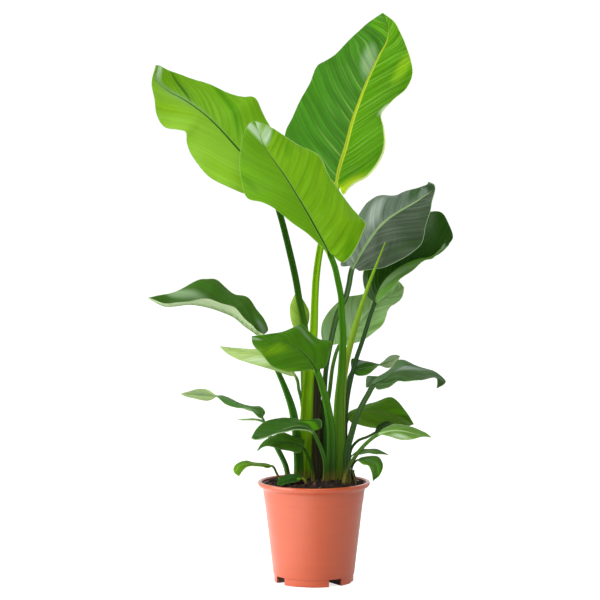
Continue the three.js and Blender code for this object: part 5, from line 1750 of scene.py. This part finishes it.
@dataclass
class Studio:
    """A white table and backdrop, a dim room in front, two soft boxes and the camera."""

    seen: float = 1.05  # how bright the backdrop looks
    room: float = 0.13
    backdrop: float = 1.0
    ceiling: float = 0.5
    table_glow: float = 0.7
    table_seen: float = 0.75  # how bright the table looks
    table_radius: float = 9000.0
    table_sides: int = 64
    key_power: float = 68.0
    top_power: float = 36.0
    lens: float = 122.64  # millimetres, on a sensor 36 mm wide

    def world(self) -> None:
        """Makes the surroundings: bright backdrop and ceiling, dim room, and plain white where seen."""
        world = bpy.data.worlds.new("white_studio")
        bpy.context.scene.world = world
        world.use_nodes = True
        world.node_tree.nodes.clear()
        node = partial(add_node, world.node_tree)
        way = node("ShaderNodeTexCoord").outputs["Generated"]
        _, deep, up = node("ShaderNodeSeparateXYZ", (way,)).outputs
        back = node(RANGE, (deep, -0.35, 0.75, self.room, self.backdrop), **SMOOTH)
        above = node(RANGE, (up, 0.35, 0.95, 0.0, self.ceiling), **SMOOTH)
        room = node(MATH, (back, above), operation="MAXIMUM")
        seen = node("ShaderNodeLightPath").outputs["Is Camera Ray"]
        strength = node(RANGE, (seen, 0.0, 1.0, room, self.seen))
        light = node("ShaderNodeBackground", {"Color": linear("FFFFFF"), "Strength": strength})
        node("ShaderNodeOutputWorld", {"Surface": light})

    def table(self) -> None:
        """Makes the floor: a white light table, lit from below on the left, where the pot reflects it."""
        material, node = new_material("white_table")
        seen = node("ShaderNodeLightPath").outputs["Is Camera Ray"]
        here = node("ShaderNodeTexCoord").outputs["Object"]
        across = node("ShaderNodeSeparateXYZ", (here,)).outputs["X"]
        lit = node(RANGE, (across, 0.03, -0.12, 0.02, self.table_glow))
        near = node(RANGE, (across, -1.4, -0.6))
        band = node(MATH, (lit, near), operation="MULTIPLY")
        glow = node(RANGE, (seen, 0.0, 1.0, band, self.table_seen))
        body = node("ShaderNodeBsdfPrincipled", {
            "Base Color": linear("D0D0CE"), "Roughness": 0.9,
            "Emission Color": linear("FFFFFF"), "Emission Strength": glow,
        })
        node("ShaderNodeOutputMaterial", {"Surface": body})
        angle = 2 * math.pi * np.arange(self.table_sides) / self.table_sides
        x, y = self.table_radius * np.cos(angle), self.table_radius * np.sin(angle)
        ring = np.stack([x, y, np.full(self.table_sides, -0.2)], axis=1)
        new_object("floor", ring, [tuple(range(self.table_sides))], material)

    def light(self, name: str, place: Point, aim: Point, size: float, power: float) -> None:
        """Adds a soft box.

        Args:
            name: The light's name.
            place: Where it stands, in metres.
            aim: What it points at, in metres.
            size: Its side, in metres.
            power: Its power in watts.
        """
        data = bpy.data.lights.new(name, "AREA")
        data.size, data.energy = size, power
        lamp = bpy.data.objects.new(name, data)
        lamp.location = place
        lamp.rotation_euler = (Vector(aim) - Vector(place)).to_track_quat("-Z", "Y").to_euler()
        lamp.visible_camera = False
        bpy.context.scene.collection.objects.link(lamp)

    def camera(self) -> None:
        """Sets up the camera on the line of sight, 3 degrees down and 3.1 m away."""
        data = bpy.data.cameras.new("camera")
        data.sensor_width, data.lens, data.clip_end = 36.0, self.lens, 50
        camera = bpy.data.objects.new("camera", data)
        camera.location = SIGHT.eye * MM
        camera.rotation_euler = (math.pi / 2 - SIGHT.look_down, 0, 0)
        bpy.context.scene.collection.objects.link(camera)
        bpy.context.scene.camera = camera

    def build(self) -> None:
        """Sets up the whole studio."""
        bpy.context.scene.view_settings.view_transform = "Standard"
        self.world()
        self.table()
        self.light("soft_box_left", (-2.2, -0.9, 0.7), (0, 0, 0.3), 2.2, self.key_power)
        self.light("soft_box_above", (0.1, -1.8, 2.2), (0, 0, 0.4), 1.6, self.top_power)
        self.camera()


def main() -> None:
    """Builds the studio, the pot, the soil and the leaves."""
    logging.basicConfig(level=logging.INFO, format="%(name)s: %(message)s")
    Studio().build()
    Pot().build()
    soil = PeatBed()
    soil.build()
    for leaf in LEAVES:
        leaf.build(soil)


if __name__ == "__main__":
    main()
